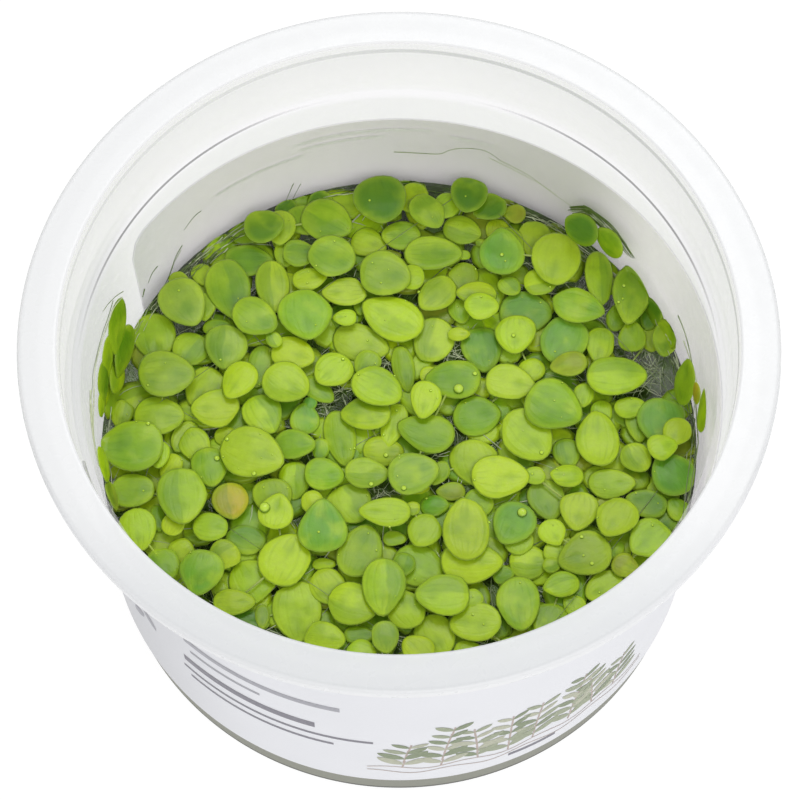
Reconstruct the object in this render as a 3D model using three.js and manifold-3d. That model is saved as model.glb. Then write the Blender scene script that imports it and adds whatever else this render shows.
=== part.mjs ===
// A clear plastic cup with a wrap label, water in it, and giant duckweed floating on the water.
// Units are millimetres, +Z is up, and the origin is the middle of the cup's foot.
import * as THREE from "three";
import { mergeVertices } from "three/addons/utils/BufferGeometryUtils.js";
import Module from "manifold-3d";

const wasm = await Module();
wasm.setup();

// Cup
const HEIGHT = 67;
const RIM_RADIUS = 54;
const WALL = 0.9;
const RIM_THICKNESS = 1.0;
const RIM_BEAD_DEPTH = 1.9;
const RIM_BEAD_WIDTH = 1.2;
const RIM_ROUNDING = 0.7;
const THROAT_RADIUS = 48.3;
const THROAT_ROUNDING = 2.2;
const LEDGE_HEIGHT = 55;
const LEDGE_WIDTH = 1.1;
const LEDGE_ROUNDING = 0.6;
const WALL_TOP_RADIUS = 46.1;
const WALL_FOOT_RADIUS = 44.3;
const FLOOR_TOP = 2.0;
const FOOT_ROUNDING = 1.6;
const FOOT_RING_WIDTH = 2.6;
const FOOT_RECESS = 0.8;
const CUP_SIDES = 44;

// Label
const LABEL_START = THREE.MathUtils.degToRad(-168);
const LABEL_END = THREE.MathUtils.degToRad(149);
const LABEL_BOTTOM = 7;
const LABEL_TOP = 49;
const LABEL_THICKNESS = 0.25;
const LABEL_CORNER = 4;
const LABEL_CORNER_INSETS = [0, 0.12, 0.45];
const LABEL_STEPS = 40;

// Water
const WATER_LEVEL = 30.8;
const WATER_SIDES = 40;
const CLEARANCE = 0.35;

// Fronds
const FROND_RISE = 0.42;
const FROND_DROP = 0.28;
const FROND_SIDES = 9;
const FROND_TAPER = 0.14;
const MAT_LEVEL = WATER_LEVEL + 0.7;
const LAYER_STEP = 1.1;
const STALK_REACH = 0.9;
const SAME_POINT = 1e-4;

const TONES = {
  light: "#9fc53c",
  bright: "#a9cf2a",
  grass: "#7fae2a",
  cool: "#86ad4e",
  deep: "#4f7f1a",
  blue: "#5f9a4c",
  olive: "#8c9a48",
  gold: "#c9b04a",
};

// Each row is one frond of a floating colony:
// x, y, length, width, the way its round end points in degrees, layer in the mat, tone
const FLOATING_COLONIES = [
  // Back to front, and from left to right
  [
    [-21.1, 35.8, 6.4, 5.9, 180, 2, "deep"],
    [-18.6, 36.2, 6.2, 5.0, 90, 1, "light"],
    [-17.9, 40.0, 4.2, 3.4, 60, 0, "deep"],
    [-11.4, 37.4, 8.4, 7.6, 150, 1, "grass"],
    [-15.3, 37.8, 5.4, 5.2, 120, 0.4, "grass"],
    [-12.6, 41.2, 4.8, 3.8, 60, 0, "deep"],
  ],
  [
    [-2.9, 40.6, 8.8, 8.4, 100, 2, "deep"],
    [2.4, 41.6, 5.6, 4.8, 60, 0.8, "bright"],
  ],
  [
    [-4.9, 34.0, 5.6, 5.2, 160, 0, "bright"],
    [0.3, 35.0, 6.4, 5.2, 0, 0.5, "grass"],
    [-1.5, 31.7, 3.8, 2.2, 180, 0, "olive"],
    [5.3, 31.5, 9.2, 6.0, 180, 1, "grass"],
    [10.1, 31.6, 2.2, 1.8, 0, 0.2, "light"],
    [10.0, 27.9, 5.4, 5.0, 90, 0, "cool"],
  ],
  [
    [4.5, 38.6, 7.0, 5.2, 120, 1.8, "grass"],
    [7.6, 40.0, 4.8, 4.4, 60, 1, "light"],
    [9.9, 36.2, 6.0, 5.4, 160, 0, "light"],
    [12.8, 33.9, 1.8, 1.6, -30, 0, "light"],
  ],
  [
    [11.0, 41.2, 6.6, 5.8, 80, 2.4, "deep"],
    [14.3, 39.6, 5.4, 4.8, 30, 1.3, "deep"],
    [18.2, 38.9, 3.6, 3.4, 0, 0.4, "olive"],
  ],
  [
    [16.0, 31.2, 7.8, 7.4, -90, 2, "blue"],
    [17.0, 33.2, 5.6, 5.4, 120, 1, "grass"],
    [15.5, 35.9, 4.6, 3.8, 90, 0, "bright"],
    [24.4, 29.9, 9.0, 7.9, 80, 2, "light"],
    [21.1, 34.5, 6.2, 5.2, 80, 0.6, "light"],
    [22.0, 26.4, 5.4, 4.9, 200, 1, "bright"],
  ],
  [
    [19.6, 21.6, 8.2, 7.4, 180, 0, "blue"],
    [17.2, 25.8, 3.8, 3.4, 140, 0.8, "bright"],
  ],
  [
    [27.5, 21.8, 8.2, 6.0, 160, 2, "grass"],
    [31.1, 27.0, 10.0, 4.3, 92, 1, "light"],
    [25.3, 16.3, 8.6, 7.4, 65, 1, "blue"],
    [26.0, 11.7, 5.8, 4.1, 10, 2, "olive"],
  ],
  [
    [36.1, 24.0, 9.8, 6.4, 80, 2, "grass"],
    [34.0, 20.8, 5.0, 4.0, 60, 0, "grass"],
  ],
  [
    [41.2, 16.6, 6.2, 4.6, 80, 1.2, "olive"],
    [38.9, 17.2, 4.6, 3.8, 90, 0, "light"],
    [38.9, 20.6, 4.4, 3.4, 70, 0.3, "deep"],
    [33.2, 9.7, 9.2, 7.0, 180, 2, "bright"],
    [31.0, 15.7, 6.4, 4.6, 80, 0.6, "light"],
    [35.9, 16.9, 5.2, 4.4, -90, 1, "grass"],
  ],
  [
    [-33.4, 22.4, 8.4, 7.4, 120, 2, "cool"],
    [-30.0, 22.6, 5.0, 3.6, 90, 0.6, "light"],
    [-34.2, 27.0, 3.6, 2.6, 150, 0.9, "light"],
    [-28.1, 19.1, 4.8, 2.8, 180, 0, "grass"],
    [-26.4, 25.3, 10.4, 7.0, 105, 1, "grass"],
    [-30.6, 28.2, 4.2, 3.4, 120, 0, "light"],
    [-23.6, 30.7, 7.8, 5.6, 180, 0.2, "grass"],
  ],
  [
    [-19.6, 25.7, 8.8, 5.4, 95, 1.2, "light"],
    [-17.6, 26.1, 5.4, 4.4, 80, 0, "bright"],
    [-10.4, 30.4, 7.8, 7.4, 150, 1.9, "cool"],
    [-13.9, 27.0, 5.4, 4.2, 200, 1, "bright"],
    [-15.5, 31.5, 5.4, 4.8, 180, 1, "cool"],
    [-17.8, 31.9, 4.6, 3.6, 90, 0.2, "light"],
  ],
  [
    [-14.4, 20.4, 8.8, 8.4, 100, 2, "grass"],
    [-8.3, 20.1, 3.8, 2.9, 0, 1.2, "bright"],
  ],
  [
    [-8.4, 24.7, 6.8, 5.2, 0, 1, "light"],
    [-5.9, 22.6, 2.6, 2.4, 90, 0, "grass"],
    [-2.2, 27.3, 8.4, 7.6, 160, 2, "cool"],
    [1.7, 27.1, 4.6, 4.6, 0, 1.4, "bright"],
  ],
  [
    [5.9, 24.4, 7.0, 5.6, 50, 1, "light"],
    [9.4, 22.0, 4.6, 3.6, 100, 0, "grass"],
    [12.7, 21.6, 5.5, 4.9, 180, 2, "bright"],
    [12.1, 24.4, 6.2, 4.4, 0, 1, "bright"],
  ],
  [
    [17.9, 17.4, 6.6, 6.4, 90, 1, "bright"],
    [20.2, 11.6, 4.6, 4.2, 45, 0, "bright"],
    [16.9, 9.0, 7.6, 6.2, 170, 1, "light"],
    [20.1, 6.5, 3.0, 2.7, -30, 0, "light"],
    [11.8, 3.9, 7.5, 6.6, 190, 0, "grass"],
  ],
  [
    [-37.7, 17.4, 8.2, 6.8, 100, 0, "light"],
    [-32.2, 15.0, 6.2, 5.8, 60, 0.4, "light"],
  ],
  [
    [-35.6, 10.1, 8.8, 7.9, 180, 2, "cool"],
    [-36.5, 3.5, 7.8, 6.8, 180, 1, "light"],
    [-40.3, -2.0, 9.4, 8.8, 0, 2, "grass"],
    [-36.3, -3.1, 4.6, 3.4, 90, 1.2, "light"],
    [-42.3, 4.4, 4.8, 3.6, 80, 0, "light"],
  ],
  [
    [-26.6, 15.2, 7.6, 6.6, 90, 1.2, "cool"],
    [-29.8, 8.8, 6.8, 6.3, 60, 0, "light"],
    [-24.4, 9.0, 6.8, 5.3, 60, 2, "bright"],
    [-27.9, 4.7, 7.4, 6.4, 0, 1, "bright"],
  ],
  [
    [-22.2, 19.7, 7.6, 6.4, 145, 2.2, "grass"],
    [-19.3, 16.2, 3.2, 2.4, -60, 1.6, "light"],
    [-21.4, 12.4, 7.6, 4.2, 80, 0, "cool"],
    [-17.2, 8.6, 7.4, 7.0, 150, 2, "light"],
    [-16.4, 14.1, 7.2, 5.8, 160, 0.9, "bright"],
  ],
  [
    [-10.1, 11.2, 6.3, 6.0, 45, 1, "bright"],
    [-12.4, 8.4, 6.0, 3.8, 140, 0, "grass"],
    [-15.9, -1.3, 6.4, 5.0, 180, 1, "grass"],
    [-14.4, 3.4, 5.2, 4.7, -90, 0, "blue"],
    [-13.6, 6.0, 2.6, 2.2, 90, 0, "blue"],
  ],
  [
    [-0.9, 20.2, 10.0, 7.6, -30, 1, "bright"],
    [-6.0, 16.4, 8.8, 6.6, 160, 0, "light"],
    [-3.3, 7.8, 8.4, 6.6, 150, 2, "light"],
    [-4.9, 12.4, 4.5, 4.1, 60, 1.1, "cool"],
    [0.7, 12.0, 7.8, 3.6, 100, 0, "grass"],
  ],
  [
    [12.8, 15.4, 7.8, 6.6, 100, 0, "blue"],
    [9.2, 17.4, 3.4, 2.4, 180, 0.9, "bright"],
    [5.3, 16.7, 8.2, 6.4, 80, 0, "light"],
  ],
  [
    [8.4, 9.7, 8.4, 6.8, 0, 1, "grass"],
    [4.8, 10.8, 3.4, 3.2, 180, 0, "bright"],
    [4.2, 0.6, 8.8, 6.5, -20, 1, "grass"],
    [4.0, 5.7, 6.1, 4.9, 80, 2, "bright"],
    [2.1, -6.6, 7.9, 6.9, 200, 2, "cool"],
  ],
  [
    [23.4, 4.7, 8.9, 8.5, 150, 2, "grass"],
    [28.2, 6.9, 4.2, 3.2, 80, 1, "bright"],
    [19.4, 0.2, 9.4, 7.8, 130, 1, "light"],
  ],
  [
    [30.1, -0.4, 9.0, 6.7, -90, 1, "bright"],
    [30.9, 4.4, 4.2, 3.6, 90, 0.2, "light"],
    [25.4, -2.3, 5.2, 4.2, 100, 0, "grass"],
    [25.2, -6.5, 5.2, 4.0, 0, 0.9, "bright"],
  ],
  [
    [39.8, 2.7, 7.8, 7.4, 90, 1, "blue"],
    [36.4, 2.6, 6.0, 4.0, 90, 0.2, "grass"],
    [35.1, 4.9, 4.8, 3.6, 190, 0.9, "bright"],
  ],
  [
    [-28.6, -5.0, 6.6, 5.6, 100, 1, "grass"],
    [-30.9, -1.1, 6.0, 5.0, 120, 0.2, "bright"],
    [-32.6, 0.4, 5.8, 4.0, 60, 0, "light"],
    [-22.3, -3.2, 9.7, 8.6, 160, 2, "light"],
    [-26.2, 0.5, 3.8, 3.5, 150, 0, "bright"],
    [-20.7, 3.8, 6.8, 6.3, 120, 1, "bright"],
  ],
  [
    [-5.0, 3.9, 7.5, 6.0, 0, 1, "bright"],
    [-8.9, 0.2, 9.4, 4.9, 100, 0, "grass"],
    [-11.9, -1.7, 3.8, 2.8, 90, 0, "grass"],
    [-2.4, -2.0, 6.3, 5.2, 180, 0, "light"],
    [-0.9, 2.4, 7.6, 4.0, 75, 0.1, "bright"],
    [-4.9, -6.1, 6.6, 5.1, 180, 1, "light"],
  ],
  [
    [11.4, -3.8, 7.8, 7.4, 100, 0, "light"],
    [15.1, -6.8, 8.7, 7.2, 180, 1, "bright"],
    [20.3, -6.5, 3.8, 3.0, 0, 0.9, "light"],
    [6.2, -5.6, 4.2, 2.8, 60, 0, "cool"],
    [26.9, -12.2, 6.3, 6.0, 80, 1, "light"],
    [22.2, -10.0, 6.8, 5.7, 100, 0, "cool"],
  ],
  [
    [42.0, 0.2, 4.9, 4.5, 60, 2, "bright"],
    [39.7, -2.4, 4.6, 4.5, 200, 2.2, "bright"],
    [35.8, -3.6, 5.2, 4.7, 120, 1, "light"],
    [41.3, -6.3, 7.2, 6.8, -60, 1, "blue"],
  ],
  [
    [-32.5, -10.3, 9.4, 7.6, 95, 2, "light"],
    [-33.7, -14.4, 4.2, 3.5, -110, 1.2, "bright"],
    [-34.5, -4.8, 4.4, 3.4, 60, 0.6, "bright"],
    [-39.9, -8.9, 7.2, 5.6, 180, 0.9, "grass"],
  ],
  [
    [-39.1, -15.4, 7.0, 6.0, 100, 1, "bright"],
    [-36.2, -13.0, 4.4, 2.4, 100, 0, "grass"],
    [-35.0, -20.8, 5.6, 5.0, 130, 1, "grass"],
    [-32.7, -18.4, 4.4, 4.2, 40, 0, "bright"],
  ],
  [
    [-25.3, -10.6, 6.0, 5.7, 100, 1, "gold"],
    [-28.1, -15.0, 5.7, 4.7, 170, 1.1, "light"],
    [-22.9, -16.5, 6.0, 5.0, -10, 0, "blue"],
  ],
  [
    [-19.0, -10.0, 6.2, 6.0, 100, 1, "cool"],
    [-18.4, -12.9, 5.8, 5.4, -100, 1.8, "bright"],
    [-16.9, -20.3, 8.6, 8.0, -110, 1, "bright"],
    [-24.4, -27.0, 6.4, 4.2, 180, 1, "light"],
    [-21.9, -23.2, 7.8, 7.0, -60, 0, "light"],
  ],
  [
    [-11.4, -15.5, 8.2, 7.4, -90, 2, "blue"],
    [-12.9, -11.2, 4.2, 3.6, 120, 1.2, "bright"],
    [-5.8, -18.8, 8.8, 6.6, -110, 1, "cool"],
  ],
  [
    [-11.3, -6.3, 6.1, 5.4, 180, 1, "grass"],
    [-15.8, -6.8, 6.2, 5.0, 90, 0, "bright"],
    [-7.4, -10.7, 7.0, 6.8, 120, 0, "light"],
  ],
  [
    [-2.0, -13.0, 7.6, 4.8, 0, 2, "bright"],
    [1.9, -12.0, 2.6, 2.3, 0, 1.1, "light"],
    [3.8, -15.5, 5.7, 5.3, 60, 1, "light"],
    [-0.7, -16.4, 3.6, 2.6, 180, 0, "light"],
  ],
  [
    [10.0, -15.7, 10.0, 7.3, -90, 2, "light"],
    [10.6, -20.6, 9.0, 7.1, 180, 1, "bright"],
    [11.8, -10.8, 5.0, 4.7, 60, 0, "grass"],
    [7.9, -8.7, 4.4, 3.1, 0, 0, "olive"],
    [5.3, -11.0, 4.4, 3.6, 180, 0, "blue"],
  ],
  [
    [17.1, -14.3, 7.2, 6.5, 60, 1, "blue"],
    [17.9, -16.6, 5.4, 4.5, -90, 0.3, "light"],
    [19.3, -20.2, 5.9, 5.8, 180, 0, "bright"],
    [15.5, -22.2, 3.5, 3.0, 200, 0, "grass"],
  ],
  [
    [32.4, -13.8, 6.7, 6.3, 60, 2, "light"],
    [32.0, -7.4, 7.2, 5.0, 180, 0, "light"],
    [37.2, -10.8, 6.2, 4.7, -20, 0.2, "deep"],
    [41.9, -11.6, 4.2, 3.6, -60, 0, "grass"],
  ],
  [
    [-29.3, -22.5, 7.0, 6.7, 80, 2, "blue"],
    [-26.1, -19.6, 5.2, 4.8, 40, 1, "bright"],
    [-26.4, -24.6, 2.8, 2.2, 100, 0, "light"],
  ],
  [
    [-15.1, -27.9, 9.6, 7.5, 95, 0, "light"],
    [-10.6, -24.2, 6.1, 5.5, 120, 0.2, "light"],
    [-11.2, -20.5, 3.6, 2.0, 180, 0, "bright"],
    [-20.2, -28.9, 4.0, 2.2, 90, 0.1, "cool"],
    [-22.4, -29.6, 6.0, 4.2, 170, 0, "deep"],
    [-29.5, -29.6, 6.2, 5.4, 60, 0, "grass"],
    [-34.4, -26.0, 4.0, 3.4, 120, 0, "light"],
  ],
  [
    [-7.0, -27.3, 7.3, 7.1, 160, 1, "bright"],
    [-5.9, -31.8, 4.6, 3.0, 180, 0, "grass"],
    [-11.0, -32.6, 6.3, 5.0, 170, 1, "light"],
    [-2.3, -24.9, 9.0, 6.7, 90, 2, "light"],
    [0.6, -21.1, 4.1, 3.5, 70, 1, "grass"],
    [2.9, -20.8, 8.0, 7.0, 150, 0, "light"],
    [0.9, -28.1, 6.6, 5.8, -60, 1, "bright"],
  ],
  [
    [6.5, -26.2, 8.0, 7.0, 0, 2, "bright"],
    [10.8, -26.4, 3.4, 3.2, 0, 1, "light"],
    [11.2, -30.3, 7.6, 6.2, 0, 1, "bright"],
    [10.4, -35.6, 6.4, 5.6, -60, 0, "light"],
    [17.6, -34.6, 6.0, 5.4, -30, 0.2, "grass"],
  ],
  [
    [27.7, -19.3, 7.7, 7.4, 20, 1, "cool"],
    [22.9, -15.9, 4.5, 4.2, 120, 1, "bright"],
    [23.2, -18.8, 3.5, 3.4, 160, 0.5, "light"],
    [22.7, -20.9, 2.9, 2.6, 200, 0.6, "light"],
  ],
  [
    [37.5, -16.9, 6.8, 6.6, 40, 1, "light"],
    [33.6, -21.0, 4.2, 4.0, 160, 0.6, "olive"],
    [32.3, -18.2, 3.4, 2.6, 60, 0, "grass"],
    [30.5, -24.3, 6.3, 5.2, 30, 0, "light"],
  ],
  [
    [17.6, -27.2, 8.8, 6.4, 95, 1, "grass"],
    [22.1, -29.5, 6.2, 5.2, 60, 0, "grass"],
    [24.0, -24.2, 5.6, 4.2, 20, 0.8, "bright"],
    [25.9, -27.1, 3.6, 3.4, -40, 0, "light"],
  ],
  [
    [-2.1, -32.9, 5.0, 4.2, 100, 2, "cool"],
    [-5.5, -34.9, 4.5, 4.2, 160, 0.9, "light"],
    [-9.4, -38.3, 6.6, 6.0, 200, 0, "light"],
  ],
  [
    [5.3, -31.9, 6.8, 6.2, 120, 0, "light"],
    [2.7, -34.5, 5.2, 4.8, -40, 1, "bright"],
    [0.3, -40.0, 6.6, 5.8, -90, 0, "grass"],
  ],
  [
    [-23.6, -34.2, 6.6, 5.6, 150, 0.9, "bright"],
    [-17.6, -35.4, 6.2, 5.6, -100, 0, "light"],
    [-20.4, -38.8, 3.8, 3.2, -120, 0.1, "grass"],
  ],
  [
    [28.4, -31.6, 6.2, 5.0, -40, 0, "bright"],
    [23.6, -35.4, 5.8, 5.2, -70, 0.4, "light"],
    [33.4, -27.9, 4.4, 3.6, 0, 0.2, "grass"],
  ],
];

// Each row is one frond that stands against the wall:
// bearing in degrees, distance from the axis, height, length, width, turn of its length from level, lean, tone
const LEANING_COLONIES = [
  {
    name: "leaning_colony_left",
    fronds: [
      [176.8, 44.8, 38.2, 3.6, 3.6, 0, 82, "bright"],
      [172.2, 44.8, 39.5, 6.2, 5.4, 40, 80, "deep"],
      [167.5, 44.9, 40.4, 6.4, 5.0, 50, 82, "light"],
      [161.5, 44.8, 41.5, 9.4, 6.4, 56, 80, "grass"],
      [163.0, 43.7, 36.2, 8.6, 5.6, 10, 74, "deep"],
      [168.3, 43.8, 34.6, 5.0, 4.4, 0, 66, "bright"],
    ],
  },
  {
    name: "leaning_colony_front_left",
    fronds: [
      [189.4, 44.5, 38.4, 5.6, 4.8, 0, 74, "bright"],
      [194.8, 44.2, 36.2, 5.0, 4.2, 0, 70, "olive"],
    ],
  },
  {
    name: "leaning_colony_back",
    fronds: [
      [49.2, 42.9, 38.6, 6.2, 5.2, 15, 52, "deep"],
      [42.6, 43.9, 39.4, 5.8, 4.4, -10, 66, "grass"],
    ],
  },
  {
    name: "leaning_colony_right",
    fronds: [
      [9.4, 43.9, 36.6, 7.2, 5.8, -40, 64, "grass"],
      [4.6, 44.7, 40.0, 3.4, 2.8, 0, 74, "gold"],
      [359.2, 45.0, 42.4, 6.4, 5.0, -25, 78, "bright"],
    ],
  },
];

// The cup's inner radius at a height under the ledge
function innerRadius(z) {
  const share = (z - FLOOR_TOP) / (LEDGE_HEIGHT - FLOOR_TOP);
  return THREE.MathUtils.lerp(WALL_FOOT_RADIUS, WALL_TOP_RADIUS, THREE.MathUtils.clamp(share, 0, 1));
}

function toSolid(geometry) {
  const bare = geometry.clone();
  for (const name of Object.keys(bare.attributes)) {
    if (name !== "position") bare.deleteAttribute(name);
  }
  const merged = mergeVertices(bare, 1e-5);
  return new wasm.Manifold(new wasm.Mesh({
    numProp: 3,
    vertProperties: new Float32Array(merged.attributes.position.array),
    triVerts: new Uint32Array(merged.index.array),
  }));
}

function fromSolid(solid) {
  const { vertProperties, triVerts } = solid.getMesh();
  const geometry = new THREE.BufferGeometry();
  geometry.setAttribute("position", new THREE.BufferAttribute(vertProperties, 3));
  geometry.setIndex(new THREE.BufferAttribute(triVerts, 1));
  geometry.computeVertexNormals();
  return geometry;
}

// A solid of revolution about Z, from a profile of radius and height that runs up the outside
function turned(path, sides) {
  return new THREE.LatheGeometry(path.getPoints(2), sides).rotateX(Math.PI / 2);
}

function material(color, roughness, opacity = 1) {
  return new THREE.MeshStandardMaterial({
    color, roughness, metalness: 0, opacity, transparent: opacity < 1, flatShading: true,
  });
}

function node(name, geometry, finish) {
  const mesh = new THREE.Mesh(geometry, finish);
  mesh.name = name;
  return mesh;
}

// The cup: foot ring, drafted wall, a ledge near the top, a throat, and a flat rim with a turned-down bead
function cup() {
  const footRadius = innerRadius(0) + WALL;
  const ledgeRadius = innerRadius(LEDGE_HEIGHT);
  const throatBottom = ledgeRadius + LEDGE_WIDTH;
  const rimUnder = HEIGHT - RIM_THICKNESS;
  const path = new THREE.Path();
  path.moveTo(0, FOOT_RECESS);
  path.lineTo(footRadius - FOOT_ROUNDING - FOOT_RING_WIDTH - FOOT_RECESS, FOOT_RECESS);
  path.lineTo(footRadius - FOOT_ROUNDING - FOOT_RING_WIDTH, 0);
  path.lineTo(footRadius - FOOT_ROUNDING, 0);
  path.quadraticCurveTo(footRadius, 0, innerRadius(FOOT_ROUNDING) + WALL, FOOT_ROUNDING);
  path.lineTo(ledgeRadius + WALL, LEDGE_HEIGHT - WALL);
  path.lineTo(throatBottom + WALL, LEDGE_HEIGHT + LEDGE_ROUNDING - WALL / 2);
  path.lineTo(THROAT_RADIUS + WALL, rimUnder - THROAT_ROUNDING / 2);
  path.quadraticCurveTo(THROAT_RADIUS + WALL, rimUnder, THROAT_RADIUS + WALL + THROAT_ROUNDING / 2, rimUnder);
  path.lineTo(RIM_RADIUS - RIM_BEAD_WIDTH, rimUnder);
  path.lineTo(RIM_RADIUS - RIM_BEAD_WIDTH, HEIGHT - RIM_BEAD_DEPTH);
  path.lineTo(RIM_RADIUS, HEIGHT - RIM_BEAD_DEPTH);
  path.lineTo(RIM_RADIUS, HEIGHT - RIM_ROUNDING);
  path.quadraticCurveTo(RIM_RADIUS, HEIGHT, RIM_RADIUS - RIM_ROUNDING, HEIGHT);
  path.lineTo(THROAT_RADIUS + THROAT_ROUNDING, HEIGHT);
  path.quadraticCurveTo(THROAT_RADIUS, HEIGHT, THROAT_RADIUS, HEIGHT - THROAT_ROUNDING);
  path.lineTo(throatBottom, LEDGE_HEIGHT + LEDGE_ROUNDING);
  path.lineTo(ledgeRadius, LEDGE_HEIGHT);
  path.lineTo(innerRadius(FLOOR_TOP + FOOT_ROUNDING), FLOOR_TOP + FOOT_ROUNDING);
  path.quadraticCurveTo(innerRadius(FLOOR_TOP), FLOOR_TOP, innerRadius(FLOOR_TOP) - FOOT_ROUNDING, FLOOR_TOP);
  path.lineTo(0, FLOOR_TOP);
  return node("cup", turned(path, CUP_SIDES), material("#f2f4f4", 0.35, 0.55));
}

// The label: a thin sheet with round corners, wrapped round the wall
function label() {
  const meanHeight = (LABEL_TOP + LABEL_BOTTOM) / 2;
  const meanRadius = innerRadius(meanHeight) + WALL;
  const halfLength = (meanRadius * (LABEL_END - LABEL_START)) / 2;
  const halfHeight = (LABEL_TOP - LABEL_BOTTOM) / 2;
  const insets = LABEL_CORNER_INSETS.map((share) => share * LABEL_CORNER);
  const inner = halfLength - LABEL_CORNER;
  const columns = insets.map((inset) => inset - halfLength);
  for (let step = 0; step <= LABEL_STEPS; step += 1) {
    columns.push(-inner + (2 * inner * step) / LABEL_STEPS);
  }
  columns.push(...insets.map((inset) => halfLength - inset).reverse());
  const sheet = new THREE.BoxGeometry(columns.length - 1, 1, 1, columns.length - 1, 1, 1);
  const position = sheet.attributes.position;
  for (let i = 0; i < position.count; i += 1) {
    const along = columns[Math.round(position.getX(i) + (columns.length - 1) / 2)];
    const into = Math.min(LABEL_CORNER, Math.max(0, Math.abs(along) - inner));
    const reach = halfHeight - LABEL_CORNER + Math.sqrt(LABEL_CORNER ** 2 - into ** 2);
    const angle = (LABEL_START + LABEL_END) / 2 + along / meanRadius;
    const z = meanHeight + 2 * position.getY(i) * reach;
    const radius = innerRadius(z) + WALL + CLEARANCE + (position.getZ(i) + 0.5) * LABEL_THICKNESS;
    position.setXYZ(i, radius * Math.cos(angle), radius * Math.sin(angle), z);
  }
  return node("label", fromSolid(toSolid(sheet)), material("#eceef0", 0.45));
}

// The water, which stops just short of the wall and the floor
function water() {
  const bottom = FLOOR_TOP + CLEARANCE;
  const bottomRadius = innerRadius(bottom) - FOOT_ROUNDING;
  const path = new THREE.Path();
  path.moveTo(0, bottom);
  path.lineTo(bottomRadius, bottom);
  path.lineTo(innerRadius(bottom + FOOT_ROUNDING) - CLEARANCE, bottom + FOOT_ROUNDING);
  path.lineTo(innerRadius(WATER_LEVEL) - CLEARANCE, WATER_LEVEL);
  path.lineTo(0, WATER_LEVEL);
  return node("water", turned(path, WATER_SIDES), material("#cfd8c0", 0.08, 0.5));
}

// A lens of unit radius, flat in XY: a low dome over a shallower belly
function lens(rise, drop) {
  const profile = [new THREE.Vector2(0, -drop), new THREE.Vector2(1, 0), new THREE.Vector2(0, rise)];
  return new THREE.LatheGeometry(profile, FROND_SIDES).rotateX(Math.PI / 2);
}

// The lens drawn out to a frond's egg shape, with its round end towards +X and its node towards -X
function frondShape(length, width) {
  const geometry = lens(FROND_RISE, FROND_DROP);
  const position = geometry.attributes.position;
  for (let i = 0; i < position.count; i += 1) {
    const x = position.getX(i);
    const y = position.getY(i);
    position.setXY(i, (x * length) / 2, (y * (1 + FROND_TAPER * x) * width) / 2);
  }
  return geometry;
}

// Points outside the wall are brought back to just inside it
function keptInside(geometry) {
  const position = geometry.attributes.position;
  for (let i = 0; i < position.count; i += 1) {
    const reach = Math.hypot(position.getX(i), position.getY(i));
    const limit = innerRadius(position.getZ(i)) - CLEARANCE;
    if (reach > limit) {
      position.setXY(i, (position.getX(i) * limit) / reach, (position.getY(i) * limit) / reach);
    }
  }
  return geometry;
}

function layerHeight(layer) {
  return MAT_LEVEL + layer * LAYER_STEP;
}

function centreOf([x, y, , , , layer]) {
  return new THREE.Vector3(x, y, layerHeight(layer));
}

function floatingFrond([x, y, length, width, heading, layer]) {
  const geometry = frondShape(length, width);
  geometry.rotateZ(THREE.MathUtils.degToRad(heading));
  geometry.translate(x, y, layerHeight(layer));
  return geometry;
}

// A frond's reach from its centre towards a bearing
function reachTowards([, , length, width, heading], bearing) {
  const turn = bearing - THREE.MathUtils.degToRad(heading);
  return 1 / Math.hypot(Math.cos(turn) / (length / 2), Math.sin(turn) / (width / 2));
}

// Bearing, distance and plan gap from one frond to another
function separation(from, to) {
  const bearing = Math.atan2(to[1] - from[1], to[0] - from[0]);
  const distance = Math.hypot(to[0] - from[0], to[1] - from[1]);
  const gap = distance - reachTowards(from, bearing) - reachTowards(to, bearing + Math.PI);
  return { bearing, distance, gap };
}

// The mother of each frond is the nearest of those before it
function motherOf(fronds, index) {
  const gapFrom = (other) => separation(other, fronds[index]).gap;
  return fronds.slice(0, index).reduce((best, other) => (gapFrom(other) < gapFrom(best) ? other : best));
}

// Where a daughter frond's stalk ends, just inside its mother's edge
function stalkEnd(mother, daughter) {
  const { bearing, distance } = separation(mother, daughter);
  const edge = distance - reachTowards(daughter, bearing + Math.PI);
  const inset = Math.min(edge, reachTowards(mother, bearing) - STALK_REACH);
  return centreOf(mother).add(new THREE.Vector3(Math.cos(bearing) * inset, Math.sin(bearing) * inset, 0));
}

// Draws the rim point nearest to a target out to that target, as the stalk of the frond
function drawnTo(geometry, target) {
  const position = geometry.attributes.position;
  const point = (i) => new THREE.Vector3().fromBufferAttribute(position, i);
  let nearest = point(0);
  for (let i = 1; i < position.count; i += 1) {
    if (point(i).distanceTo(target) < nearest.distanceTo(target)) nearest = point(i);
  }
  for (let i = 0; i < position.count; i += 1) {
    if (point(i).distanceTo(nearest) < SAME_POINT) position.setXYZ(i, ...target.toArray());
  }
  return geometry;
}

function floatingColony(fronds, index) {
  let colony = toSolid(keptInside(floatingFrond(fronds[0])));
  for (let i = 1; i < fronds.length; i += 1) {
    const frond = drawnTo(floatingFrond(fronds[i]), stalkEnd(motherOf(fronds, i), fronds[i]));
    colony = colony.add(toSolid(keptInside(frond)));
  }
  const finish = material(TONES[fronds[0][6]], 0.4);
  return node(`colony_${String(index + 1).padStart(2, "0")}`, fromSolid(colony), finish);
}

function leaningCentre([bearing, distance, height]) {
  const angle = THREE.MathUtils.degToRad(bearing);
  return new THREE.Vector3(distance * Math.cos(angle), distance * Math.sin(angle), height);
}

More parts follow.
